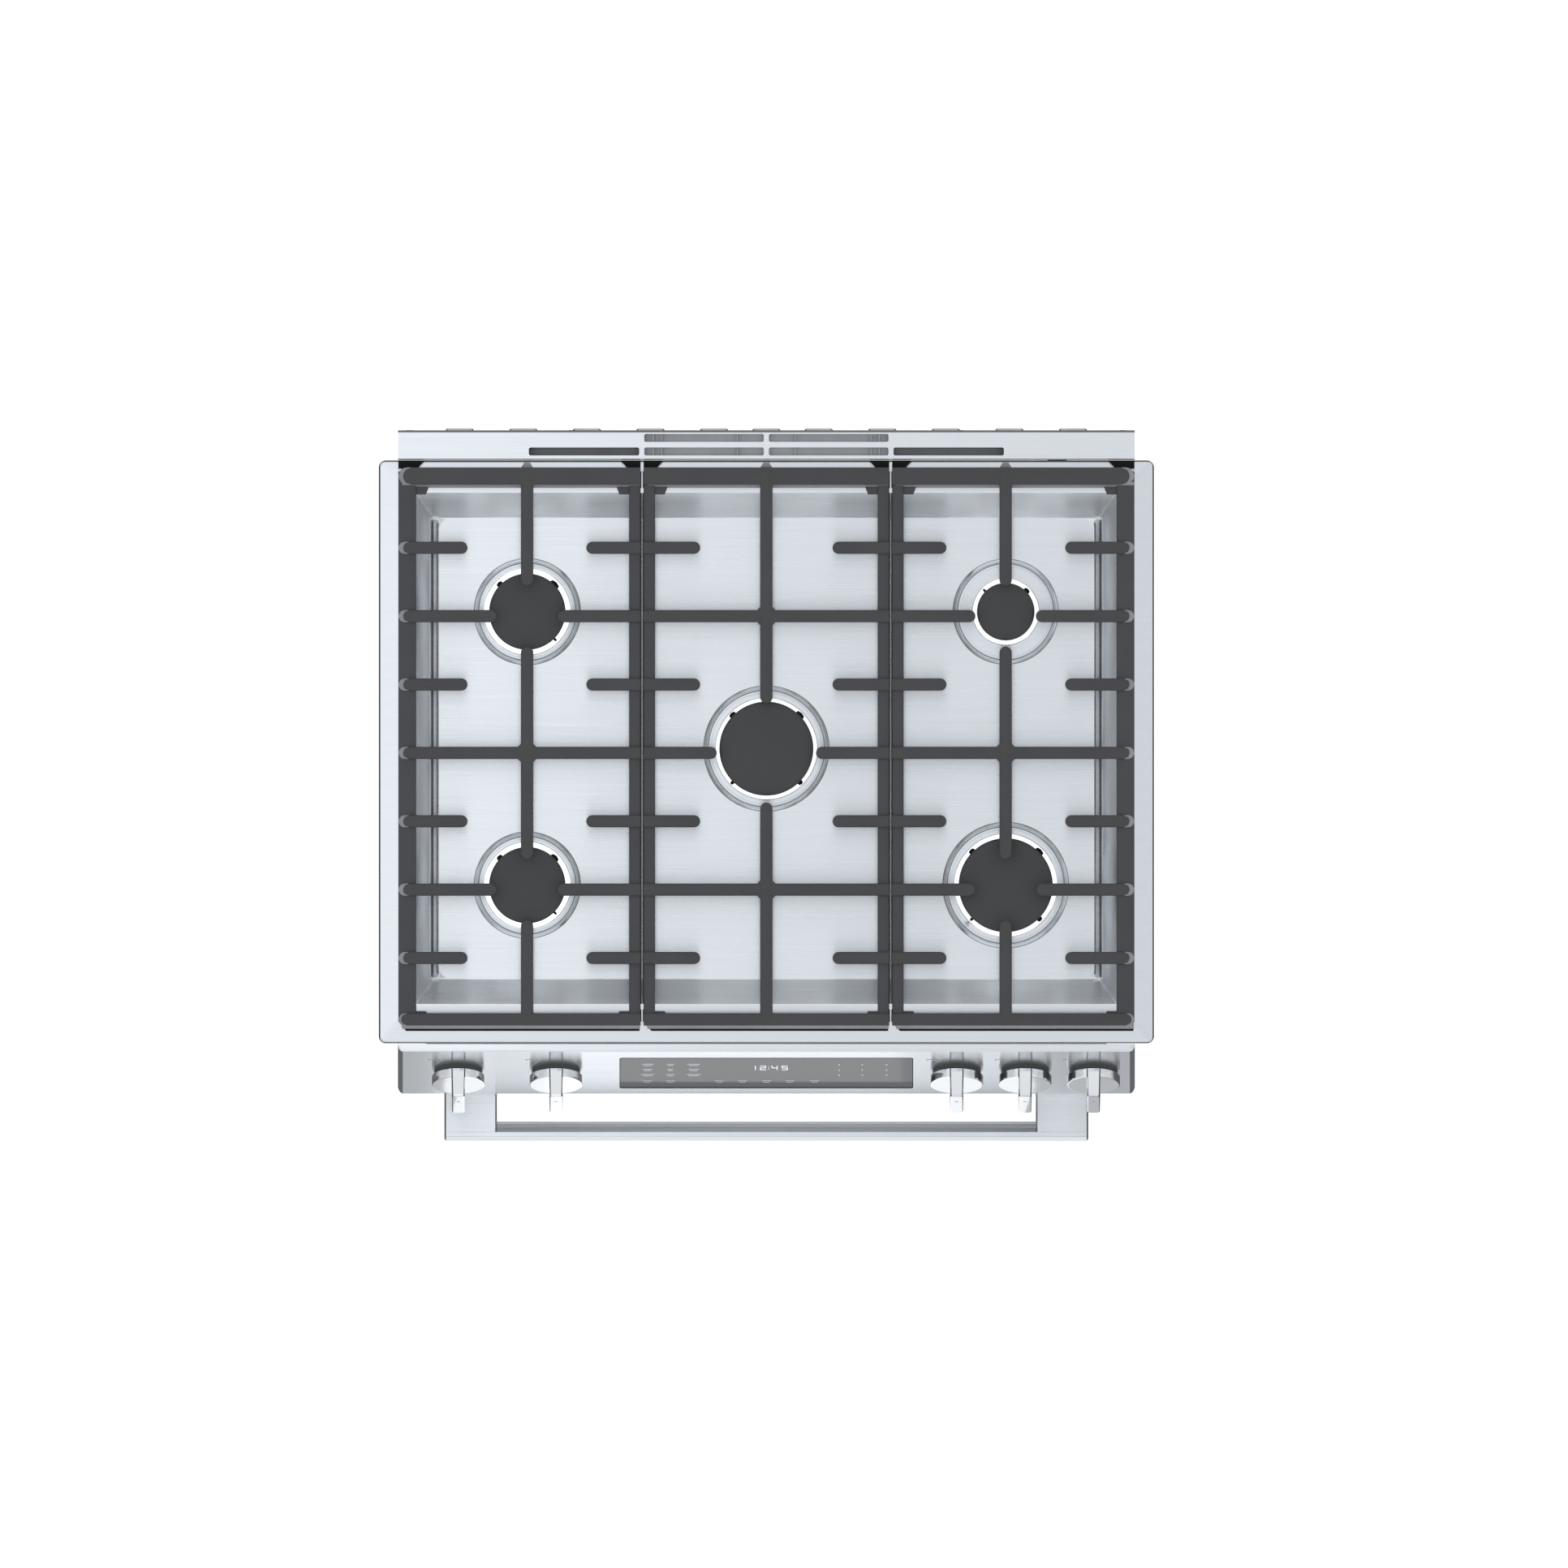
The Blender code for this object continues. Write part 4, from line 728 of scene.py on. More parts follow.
# Each burner's notches: the angle round the head, and half the width
NOTCHES = {
    "left_rear": ((135, 0.0036), (45, 0.0056), (315, 0.0014)),
    "left_front": ((135, 0.0036), (45, 0.0050), (315, 0.0014)),
    "centre": ((135, 0.0040), (45, 0.0052), (315, 0.0030), (225, 0.0020)),
    "right_rear": ((45, 0.0036), (135, 0.0014)),
    "right_front": ((135, 0.0036), (45, 0.0050), (315, 0.0030), (225, 0.0016)),
}
IGNITER_TURN = dict(zip(BURNER_NAMES, (270, 0, 0, 270, 225)))
BURNER_BASE = TRAY_FLOOR_Z + SEAT_RISE + 0.0003
BURNER_LIP = BURNER_BASE + 0.0052
IGNITER_GAP = 0.0032


def make_notches(name, place):
    """Small near-black slabs beside the cap, in the inner part of a head's ring, that paint the shade in its
    notches.
    """
    cap = CAP_RADIUS[name]
    bm = bmesh.new()
    for angle, half in NOTCHES[name]:
        notch = bmesh.new()
        bow = half * half / cap / 2
        near, far = cap - 0.0006 - bow, cap + 0.0026 - bow
        outline = [(near, -half), (far, -half * 0.85), (cap + 0.0034, 0.0), (far, half * 0.85), (near, half)]
        add_slab(notch, outline, BURNER_LIP - 0.0020, BURNER_LIP + 0.0001)
        pour(bm, notch, turned(angle))
    show(f"burner_notch_painted_shade_{name}", bm, IRON_PAINTED_SHADE, "chassis", place=place)


def make_head(name, place):
    """A head with a lip, a neck under the cap and a ring of flame ports round the neck."""
    cap, head = CAP_RADIUS[name], HEAD_RADIUS[name]
    low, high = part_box(f"burner_head_{name}")
    neck = cap - 0.0050
    profile = [
        (0.0120, high.z - 0.0008), (neck, high.z - 0.0006), (neck, BURNER_LIP), (head - 0.0007, BURNER_LIP),
        (head - 0.0002, BURNER_LIP - 0.0004), (head, BURNER_LIP - 0.0012), (head, BURNER_BASE),
        (0.0160, BURNER_BASE), (0.0160, low.z), (0.0120, low.z),
    ]
    bm = bmesh.new()
    lathe(bm, profile, ROUND_STEPS, closed=True)
    teeth = int(cap * 900)
    width = math.pi * cap / teeth * 0.62
    for i in range(teeth):
        tooth = bmesh.new()
        start, end = (neck - 0.002, -width, BURNER_BASE + 0.0050), (cap - 0.0016, width, high.z - 0.0002)
        add_block(tooth, start, end, 0.0)
        pour(bm, tooth, Matrix.Rotation(math.tau * i / teeth, 4, "Z"))
    show(f"burner_body_{name}", bm, SLOTS["burner_aluminium"], "chassis", [f"burner_head_{name}"], place)


def make_cap(name, place):
    """A loose enamelled lid with a locating rim underneath."""
    radius = CAP_RADIUS[name]
    low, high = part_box(f"burner_cap_{name}")
    profile = [
        (0.0001, high.z), (radius - 0.0075, high.z), (radius - 0.0030, high.z - 0.0004),
        (radius - 0.0010, high.z - 0.0012), (radius, high.z - 0.0026), (radius, high.z - 0.0042),
        (radius - 0.0008, high.z - 0.0050), (0.0110, high.z - 0.0050), (0.0105, low.z + 0.0006),
        (0.0098, low.z), (0.0001, low.z),
    ]
    bm = bmesh.new()
    lathe(bm, profile, ROUND_STEPS)
    body = f"cap_{name}"
    even_normals(show(body, bm, SLOTS["black_enamel"], body, [f"burner_cap_{name}"], place))


def make_igniter(name, place):
    """A ceramic electrode with a steel tip, beside the head."""
    place = place @ turned(IGNITER_TURN[name])
    base = TRAY_FLOOR_Z + SEAT_RISE
    out = HEAD_RADIUS[name] + IGNITER_GAP
    bm = bmesh.new()
    profile = [(0.0024, 0.0), (0.0024, 0.0070), (0.0018, 0.0085), (0.0008, 0.0085)]
    lathe(bm, [(radius, base + z) for radius, z in profile], 16, (out, 0))
    show(f"igniter_{name}", bm, CERAMIC, "chassis", place=place)
    bm = bmesh.new()
    add_rod(bm, (out, 0, base + 0.0080), (out, 0, base + 0.0112), 0.0007, 10)
    add_rod(bm, (out, 0, base + 0.0108), (out - 0.0038, 0, base + 0.0116), 0.0007, 10)
    show(f"igniter_tip_{name}", bm, SLOTS["zinc_steel"], "chassis", place=place)


def make_burner(name):
    """A head with its notches, a cap and an igniter."""
    place = Matrix.Translation((BURNERS[name].x, BURNERS[name].y, 0))
    make_head(name, place)
    make_notches(name, place)
    make_cap(name, place)
    make_igniter(name, place)


# ---------------------------------------------------------------- grates
BAR_HALF = 0.00635
PITCH = 0.07055
MIDDLE_Y = 0.0327
GRATE_TOP, GRATE_RAIL_TOP, GRATE_LOW, FOOT_LOW = 0.9271, 0.9240, 0.9166, 0.9153
GRATE_FRONT, GRATE_BACK = -0.2487, 0.3273
RAIL_WIDTH, OUTER_RAIL_WIDTH = 0.0118, 0.0185
REAR_BAR_HALF = 0.0090
TIP_SLOPE, FRONT_TIP_SLOPE = 0.0050, 0.0030
TIP_DROP = 0.0022


def bar_outline(start, end, half, tips, shrink):
    """Points round a straight bar in plan, and how far each lies past a tip's centre (0 to 1)."""
    start, end = Vector(start), Vector(end)
    along = (end - start).normalized()
    across = Vector((-along.y, along.x))
    points = []
    for tip, at, way in ((tips[1], end, 1), (tips[0], start, -1)):
        out = along * way
        side = across * way
        if tip == "flat":
            for k in (-1, 1):
                points.append((at + side * k * (half - shrink), 0.0))
            continue
        centre = at - out * half
        for i in range(9):
            angle = math.pi * (i / 8 - 0.5)
            reach = math.cos(angle)
            spot = centre + (out * reach + side * math.sin(angle)) * (half - shrink)
            points.append((spot, reach if tip == "shoulder" else 0.0))
    return points


def add_highlight_tip(bm, tip, outwards, half, levels):
    """A bar's round end, a little lower than the bar, whose top falls away past the tip's centre; it takes the
    painted highlight.
    """
    base = tip - outwards * (half * 2 + 0.002)
    loops = []
    for shrink, z in levels:
        fall = TIP_DROP if z > GRATE_LOW + 0.0024 else 0.0
        outline = bar_outline(base, tip, half, ("flat", "shoulder"), shrink)
        loops.append([Vector((spot.x, spot.y, z - 0.0004 - fall * reach)) for spot, reach in outline])
    loft(bm, loops)


def add_bar(bms, start, end, top, half=BAR_HALF, tips=("flat", "flat"), slope=TIP_SLOPE):
    """A cast bar with soft top edges, its tips flat, round, or round with a slope past them that carries a painted
    highlight.
    """
    casting, painted_highlight = bms
    ends, shapes = [Vector(start), Vector(end)], list(tips)
    along = (ends[1] - ends[0]).normalized()
    levels = [(0.0005, GRATE_LOW), (0.0, GRATE_LOW + 0.0010), (0.0, top - 0.0016), (0.0004, top - 0.0006)]
    levels.append((0.0014, top))
    for i, outwards in ((0, -along), (1, along)):
        if tips[i] == "shoulder":
            add_highlight_tip(painted_highlight, ends[i], outwards, half, levels)
            ends[i] = ends[i] - outwards * slope
            shapes[i] = "round"
    outlines = [(bar_outline(*ends, half, shapes, shrink), z) for shrink, z in levels]
    loft(casting, [[Vector((spot.x, spot.y, z)) for spot, _ in outline] for outline, z in outlines])


def add_gusset(bm, x, y, top, reach=0.0032):
    """Fills the four inner corners where two bars cross."""
    out = 2 * BAR_HALF + reach
    add_slab(bm, [(x + out, y), (x, y + out), (x - out, y), (x, y - out)], GRATE_LOW + 0.001, top)


def add_frame_bars(bms, left, right, rails, tips):
    """A grate's two rails, and its front and rear members with the draught on their front faces, drawn lighter as
    a painted highlight.
    """
    ends = (GRATE_FRONT + 0.004, GRATE_BACK - 0.004)
    for x, width in ((left + rails[0] / 2, rails[0]), (right - rails[1] / 2, rails[1])):
        add_bar(bms, (x, ends[0]), (x, ends[1]), GRATE_RAIL_TOP, half=width / 2)
    rear, front, top = GRATE_BACK - REAR_BAR_HALF, GRATE_FRONT + BAR_HALF, GRATE_TOP - 0.0002
    add_bar(bms, (left, rear), (right, rear), top, half=REAR_BAR_HALF, tips=tips)
    add_bar(bms, (left, front), (right, front), top, tips=tips, slope=FRONT_TIP_SLOPE)
    for y, reach in ((GRATE_FRONT, 0.0034), (GRATE_BACK - 2 * REAR_BAR_HALF, 0.0030)):
        profile = [
            (y + 0.0030, GRATE_TOP - 0.0016), (y + 0.0002, GRATE_TOP - 0.0016),
            (y - reach, GRATE_LOW + 0.0030), (y - reach, GRATE_LOW), (y + 0.0030, GRATE_LOW),
        ]
        drawn_along(bms[1], profile, left + 0.0040, right - 0.0006)


def add_spine(bms, x, breaks):
    """The bar down a grate's middle, broken over each burner, with a lug at its back, drawn lighter as a painted
    highlight.
    """
    start, start_tip = GRATE_BACK - 0.004, "flat"
    for centre, reach in breaks:
        add_bar(bms, (x, start), (x, centre + reach), GRATE_TOP, tips=(start_tip, "round"))
        start, start_tip = centre - reach, "round"
    end = (x, GRATE_FRONT - 0.0010)
    add_bar(bms, (x, start), end, GRATE_TOP, tips=(start_tip, "shoulder"), slope=FRONT_TIP_SLOPE)
    near, far = GRATE_BACK, GRATE_BACK + 0.005
    lug = [(x - 0.003, far), (x - 0.006, near), (x + 0.006, near), (x + 0.003, far)]
    add_slab(bms[1], lug, GRATE_LOW, 0.9210)


def add_corners(casting, feet_and_painted_shade, edge, way, rail, outer, back):
    """What joins one rail to the ends of a grate: a foot, near-black as painted shade, a ledge to the next grate,
    and two gussets.
    """
    wide = 0.0197 if outer else 0.0130
    heel, inner = GRATE_BACK - 0.001, edge + way * (rail - 0.001)
    foot = [(edge, heel), (edge + way * wide, heel), (edge + way * (wide + 0.007), back), (edge, back)]
    add_slab(feet_and_painted_shade, foot, FOOT_LOW, 0.9185)
    if not outer:
        near, far = sorted((edge + way * 0.001, edge - way * 0.0009))
        start, end = GRATE_FRONT + 0.004, GRATE_BACK - 0.004
        add_slab(casting, [(near, start), (far, start), (far, end), (near, end)], 0.9168, 0.9190)
    rear = [(inner, 0.3075), (inner + way * 0.0140, 0.3075), (inner + way * 0.0110, 0.2993), (inner, 0.2993)]
    add_slab(casting, rear, FOOT_LOW, 0.9215)
    near, far = GRATE_FRONT + 0.0110, GRATE_FRONT + 0.0148
    nose = [(inner, near), (inner + way * 0.0130, near), (inner + way * 0.0110, far), (inner, far)]
    add_slab(casting, nose, FOOT_LOW, 0.9215)


def make_grate(node, spine_x, breaks, full_rows, burner_rows, finger_tips, outer_side):
    """One grate: two rails, front and rear members, a spine broken over each burner, bars and fingers."""
    low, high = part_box(node)
    left, right = low.x, high.x
    tips = ["shoulder" if outer_side == side else "flat" for side in ("left", "right")]
    rails = [OUTER_RAIL_WIDTH if outer_side == side else RAIL_WIDTH for side in ("left", "right")]
    casting, painted_highlight, feet_and_painted_shade = bmesh.new(), bmesh.new(), bmesh.new()
    bms = casting, painted_highlight
    add_frame_bars(bms, left, right, rails, tips)
    # A near-black strip under the front member: painted shadow.
    painted_shadow_strip = [(left + 0.008, low.y), (right - 0.001, low.y), (right - 0.001, GRATE_FRONT)]
    add_slab(feet_and_painted_shade, [*painted_shadow_strip, (left + 0.003, GRATE_FRONT)], 0.9160, 0.9180)
    add_spine(bms, spine_x, breaks)
    for y in full_rows:
        add_bar(bms, (left, y), (right, y), GRATE_TOP - 0.0001, tips=tips)
        add_gusset(casting, spine_x, y, GRATE_TOP - 0.0004)
    rows = [(y, (spine_x - reach, spine_x + reach)) for y, reach in burner_rows]
    rows += [(MIDDLE_Y + step * PITCH, finger_tips) for step in (-3, -1, 1, 3)]
    for y, inner_ends in rows:
        for edge, inner, tip in zip((left, right), inner_ends, tips):
            add_bar(bms, (edge, y), (inner, y), GRATE_TOP - 0.0001, tips=(tip, "round"))
    for edge, way, rail, tip in zip((left, right), (1, -1), rails, tips):
        add_corners(casting, feet_and_painted_shade, edge, way, rail, tip == "shoulder", high.y)
    show(f"{node}_casting", casting, SLOTS["cast_iron"], node, [node], smooth=50)
    # The sloping bar ends, draught faces and lugs, in lighter iron: a painted highlight.
    show(f"{node}_worn_edges", painted_highlight, IRON_PAINTED_HIGHLIGHT, node, slot="cast_iron", smooth=50)
    show(f"{node}_feet", feet_and_painted_shade, IRON_PAINTED_SHADE, node, slot="cast_iron")


def make_grates():
    """Two side grates over two burners each, and the middle one over one."""
    rear, front = MIDDLE_Y + 2 * PITCH, MIDDLE_Y - 2 * PITCH
    breaks = [(rear, 0.0312), (front, 0.0312)]
    for side, way in (("left", -1), ("right", 1)):
        tips = sorted((way * 0.1859, way * 0.3083))
        make_grate(f"grate_{side}", way * 0.2469, breaks, [MIDDLE_Y], breaks, tips, side)
    middle = [(MIDDLE_Y, 0.0512)]
    make_grate("grate_centre", 0.0, middle, [rear, front], middle, (-0.0682, 0.0682), None)


# ---------------------------------------------------------------- control panel
def face_frame(origin, out):
    """A frame with Z out of the panel's face, Y up it and X across."""
    out = Vector(out).normalized()
    across = Vector((1, 0, 0))
    up = out.cross(across)
    return Matrix.Translation(origin) @ Matrix((across, up, out)).transposed().to_4x4()


KNOBS = {
    joint["child"].split("_")[1]: face_frame(joint["pos_m"], joint["axis"])
    for joint in frame["joints"]
    if joint["name"].startswith("knob") and joint["type"] == "hinge"
}


def panel_face():
    """The frame at the middle of the display, on the panel's face."""
    first = next(iter(KNOBS.values()))
    low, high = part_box("display_glass")
    middle = (low + high) / 2
    out = first.to_3x3() @ Vector((0, 0, 1))
    offset = (middle - first.translation).dot(out)
    return face_frame(middle - out * offset, out)


FACE = panel_face()
GLASS = (-0.1511, 0.1511, -0.0471, 0.0471)
WINDOW_GAP = 0.0004
PANEL_TOP_Y = -0.2762
PANEL_WALL = 0.0014
STEM_HOLE = 0.0055
# The panel's soft ends: how far in from the end, and how far its front is set back there
PANEL_ENDS = [(0.0, 0.0064), (0.0010, 0.0036), (0.0026, 0.0012), (0.0044, 0.0002), (0.0056, 0.0)]


def make_panel():
    """The folded front panel, with soft ends, a window and a hole for each stem."""
    low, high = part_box("control_panel")
    profile = [
        (high.y, high.z), (PANEL_TOP_Y + 0.0022, high.z), (PANEL_TOP_Y + 0.0006, high.z - 0.0005),
        (PANEL_TOP_Y, high.z - 0.0018), (low.y, low.z + 0.0015), (low.y + 0.0006, low.z + 0.0003),
        (low.y + 0.0020, low.z), (high.y, low.z),
    ]
    slices = []
    for side, run in ((-1, PANEL_ENDS), (1, reversed(PANEL_ENDS))):
        for step, sink in run:
            x = side * (high.x - step)
            slices.append([Vector((x, min(y + sink, high.y), z)) for y, z in profile])
    bm = bmesh.new()
    loft(bm, slices)
    panel = show("control_panel_shell", bm, PANEL_STEEL, "chassis", ["control_panel"], smooth=40)
    inner = [
        (high.y + 0.01, high.z - PANEL_WALL), (PANEL_TOP_Y + PANEL_WALL, high.z - PANEL_WALL),
        (low.y + PANEL_WALL * 1.3, low.z + PANEL_WALL), (high.y + 0.01, low.z + PANEL_WALL),
    ]
    tool = bmesh.new()
    drawn_along(tool, inner, -high.x + 0.008, high.x - 0.008)
    cut(panel, tool)
    tool = bmesh.new()
    window = bmesh.new()
    loft(window, [rounded_rect(*inset(GLASS, -WINDOW_GAP), 0.0030, z, 3) for z in (-0.006, 0.004)])
    pour(tool, window, FACE)
    for place in KNOBS.values():
        add_turned(tool, [(STEM_HOLE, -0.008), (STEM_HOLE, 0.006)], 24, place)
    cut(panel, tool)
    even_normals(panel)


def add_tile(bm, low, high, height=0.00008):
    """A thin flat mark on a face, between two corners."""
    add_block(bm, (*low, -0.00005), (*high, height), 0.0)


def add_dash(bm, x, y, half_x, half_y):
    """A thin flat mark round a middle."""
    add_tile(bm, (x - half_x, y - half_y), (x + half_x, y + half_y))


SEGMENTS = {"1": "bc", "2": "abged", "4": "fgbc", "5": "afgcd"}
DIGIT_WIDTH, DIGIT_HEIGHT, DIGIT_LINE, DIGIT_Y = 0.0062, 0.0135, 0.0009, 0.0174
DIGIT_PLACES = (("1", -0.0140), ("2", -0.0035), ("4", 0.0085), ("5", 0.0190))


def add_digit(bm, char, x):
    """A seven-segment digit of the clock, with its middle at x."""
    left, right = x - DIGIT_WIDTH / 2, x + DIGIT_WIDTH / 2
    low, high = DIGIT_Y - DIGIT_HEIGHT / 2, DIGIT_Y + DIGIT_HEIGHT / 2
    stroke = DIGIT_LINE * 2.2
    shapes = {
        "a": ((left, high - stroke), (right, high)),
        "g": ((left, DIGIT_Y - stroke / 2), (right, DIGIT_Y + stroke / 2)),
        "d": ((left, low), (right, low + stroke)),
        "f": ((left, DIGIT_Y), (left + DIGIT_LINE, high)),
        "b": ((right - DIGIT_LINE, DIGIT_Y), (right, high)),
        "e": ((left, low), (left + DIGIT_LINE, DIGIT_Y)),
        "c": ((right - DIGIT_LINE, low), (right, DIGIT_Y)),
    }
    for segment in SEGMENTS[char]:
        add_tile(bm, *shapes[segment])


MARK_ROWS = (0.0270, 0.0110, -0.0050)
# Left columns: place in X, and half the width of their marks
MARK_COLUMNS = ((-0.1225, 0.0062), (-0.0990, 0.0040), (-0.0750, 0.0068))
ROW_WIDTHS = (1.0, 0.8, 1.1)
DOT_COLUMNS = (0.075, 0.099, 0.124)
LOW_COLUMNS = (-0.123, -0.099, -0.0486, -0.0246, 0.0, 0.0242, 0.0498)


def make_display():
    """The touch glass, with a clock and rows of small unlabelled marks."""
    bm = bmesh.new()
    layers = ((0.0, 0.0028, -0.0020), (0.0, 0.0028, 0.0), (0.0004, 0.0025, 0.0004))
    loft(bm, [rounded_rect(*inset(GLASS, by), corner, z, 3) for by, corner, z in layers])
    show("display_lens", bm, SLOTS["display_glass"], "chassis", ["display_glass"], FACE)

    lens = Matrix.Translation(FACE.to_3x3() @ Vector((0, 0, 0.0005))) @ FACE
    bm = bmesh.new()
    for char, x in DIGIT_PLACES:
        add_digit(bm, char, x)
    for y in (0.0145, 0.0203):
        add_dash(bm, 0.0025, y, 0.0005, 0.0010)
    show("clock_digits", bm, DIGITS, "chassis", place=lens)

    bm = bmesh.new()
    for x, width in MARK_COLUMNS:
        for y, share in zip(MARK_ROWS, ROW_WIDTHS):
            half = width * share
            add_dash(bm, x, y + 0.0024, half, 0.0010)
            add_dash(bm, x, y - 0.0020, half * 0.7, 0.0010)
    for x in DOT_COLUMNS:
        for y in MARK_ROWS:
            add_dash(bm, x, y, 0.0008, 0.0018)
    for x in LOW_COLUMNS:
        for y, half in ((-0.0228, 0.0048), (-0.0272, 0.0034)):
            add_dash(bm, x, y, half, 0.0007)
    show("display_marks", bm, PRINT, "chassis", place=lens)


# Ticks round a knob: middle, and lean in degrees
TICKS = (((-0.0320, -0.0015), -5), ((-0.0312, -0.0110), 14), ((0.0312, -0.0090), -12))


def make_panel_marks():
    """Beside each knob: the outline of a small cooktop diagram, and ticks for high and low."""
    bm = bmesh.new()
    left, right, low, high = -0.0312, -0.0187, 0.0296, 0.0377
    line, flat_line = 0.0006, 0.0018
    diagram = (
        ((left, low), (right, low + flat_line)),
        ((left, high - flat_line), (right, high)),
        ((left, low), (left + line, high)),
        ((right - line, low), (right, high)),
        ((right - 0.0026, low + 0.0022), (right - 0.0008, high - 0.0022)),
    )
    for place in KNOBS.values():
        marks = bmesh.new()
        for corners in diagram:
            add_tile(marks, *corners)
        for middle, lean in TICKS:
            tick = bmesh.new()
            add_dash(tick, 0, 0, 0.0004, 0.0055)
            pour(marks, tick, Matrix.Translation((*middle, 0)) @ turned(lean))
        pour(bm, marks, place)
    show("panel_marks", bm, GREY_PRINT, "chassis")


KNOB_RADIUS = 0.0273
COLLAR_RADIUS, COLLAR_TOP = 0.0248, 0.0052
# The cup's section, round its wall: distance in from the rim, and height over the panel
CUP_WALL = [
    (0.0014, 0.0152), (0.0004, 0.0149), (0.0, 0.0142), (0.0, 0.0062), (0.0003, 0.0059),
    (0.0014, 0.0058), (0.0018, 0.0061), (0.0018, 0.0112),
]
# The grip, from its root to its top: height, half its width, and how far it stops short of its reach
GRIP_STEPS = (
    (0.0090, 0.0072, 0.0), (0.0345, 0.0066, 0.0006), (0.0360, 0.0063, 0.0012), (0.0366, 0.0056, 0.0022),
)


def blade_outline(half_x, half_y, z, chamfer=(0.0013, 0.0026)):
    """A bar's outline in plan, with its corners cut off."""
    points = []
    for x, y in ((1, 1), (-1, 1), (-1, -1), (1, -1)):
        near = Vector((x * (half_x - chamfer[0]), y * half_y, z))
        far = Vector((x * half_x, y * (half_y - chamfer[1]), z))
        points += [far, near] if x * y > 0 else [near, far]
    return points


def make_knob(number, place):
    """A chrome cup with a tapered grip across it, over a dark collar on the panel, with dark strips of painted
    shadow beside the grip.
    """
    body = f"knob_{number}"
    cup = [(0.0050, 0.0152), *((KNOB_RADIUS - by, z) for by, z in CUP_WALL), (0.0050, 0.0112)]
    bm = bmesh.new()
    lathe(bm, cup, steps=96, closed=True)
    reach = KNOB_RADIUS + 0.0003
    loft(bm, [blade_outline(half, reach - short, z) for z, half, short in GRIP_STEPS])
    even_normals(show(f"knob_grip_{number}", bm, SLOTS["satin_chrome"], body, [body], place, smooth=32))
    bm = bmesh.new()
    add_block(bm, (-0.0016, 0.0085, 0.03655), (0.0016, 0.0105, 0.03675), 0.0)
    show(f"knob_pointer_{number}", bm, GREY_PRINT, body, place=place)
    # The collar's near-black is partly its own colour and partly painted shade from the gap behind the cup.
    bm = bmesh.new()
    edge = [(COLLAR_RADIUS, 0.0), (COLLAR_RADIUS, COLLAR_TOP - 0.0006), (COLLAR_RADIUS - 0.0006, COLLAR_TOP)]
    lathe(bm, [(0.0060, 0.0), *edge, (0.0060, COLLAR_TOP)], ROUND_STEPS, closed=True)
    show(f"knob_collar_{number}", bm, COLLAR_AND_SHADE_GREY, "chassis", place=place, slot="satin_chrome")
    # Dark strips on the cup's side, each side of the grip: painted shadow in the gaps.
    bm = bmesh.new()
    for left, right in mirrored(0.0059, 0.0071):
        for near, far in mirrored(KNOB_RADIUS - 0.0021, KNOB_RADIUS - 0.0006):
            add_block(bm, (left, near, 0.0064), (right, far, 0.01525), 0.0)
    show(f"knob_painted_shadow_seams_{number}", bm, COLLAR_AND_SHADE_GREY, body, place=place, slot="satin_chrome")


# ---------------------------------------------------------------- door, drawer and oven
DOOR_WALL = 0.0016
DOOR_WINDOW = (-0.2550, 0.2550, 0.3700, 0.6600)
HINGE_SLOT = (0.3345, 0.3555)
BORDER_WIDTH = 0.034
DOOR_SCREW_X = (-0.300, -0.100, 0.100, 0.300)
SCREW_RADIUS = 0.0042


def show_block(name, low, high, material, body, nodes):
    """A plain pane with softened edges."""
    bm = bmesh.new()
    add_block(bm, low, high, 0.0004)
    show(name, bm, material, body, nodes)


def make_door_skin():
    """The steel outer panel: a tray, open at the back, with a window and a slot over each hinge."""
    low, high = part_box("door_outer_panel")
    bm = bmesh.new()
    add_block(bm, low, high, 0.0)
    skin = show("door_skin", bm, SLOTS["brushed_stainless"], "oven_door", ["door_outer_panel"])
    soften(skin, 0.0022, 3)
    tool = bmesh.new()
    inside = Vector((DOOR_WALL, DOOR_WALL, DOOR_WALL)), Vector((-DOOR_WALL, 0.01, -DOOR_WALL))
    add_block(tool, low + inside[0], high + inside[1], 0.0)
    window = bmesh.new()
    loft(window, [rounded_rect(*DOOR_WINDOW, 0.0080, z, 4) for z in (0.290, 0.330)])
    pour(tool, window, turned(90, "X"))
    for left, right in mirrored(*HINGE_SLOT):
        add_block(tool, (left, -0.3045, 0.20), (right, -0.27, 0.2780), 0.0)
    cut(skin, tool)
    even_normals(skin)


def make_door_glass():
    """The outer and inner panes, and the outer one's printed border."""
    low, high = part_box("door_outer_glass")
    show_block("door_glass_pane", low, high, SLOTS["door_glass"], "oven_door", ["door_outer_glass"])
    bm = bmesh.new()
    left, right, foot, top = low.x + 0.001, high.x - 0.001, low.z + 0.001, high.z - 0.001
    y = high.y + 0.0001
    for (x_low, z_low), (x_high, z_high) in (
        ((left, foot), (right, foot + BORDER_WIDTH)),
        ((left, top - BORDER_WIDTH), (right, top)),
        ((left, foot + BORDER_WIDTH), (left + BORDER_WIDTH, top - BORDER_WIDTH)),
        ((right - BORDER_WIDTH, foot + BORDER_WIDTH), (right, top - BORDER_WIDTH)),
    ):
        add_block(bm, (x_low, y, z_low), (x_high, y + 0.0003, z_high), 0.0)
    show("door_glass_border", bm, BLACK_BORDER, "oven_door", slot="door_glass")
    low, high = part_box("door_inner_glass")
    show_block("door_inner_pane", low, high, SLOTS["door_glass"], "oven_door", ["door_inner_glass"])


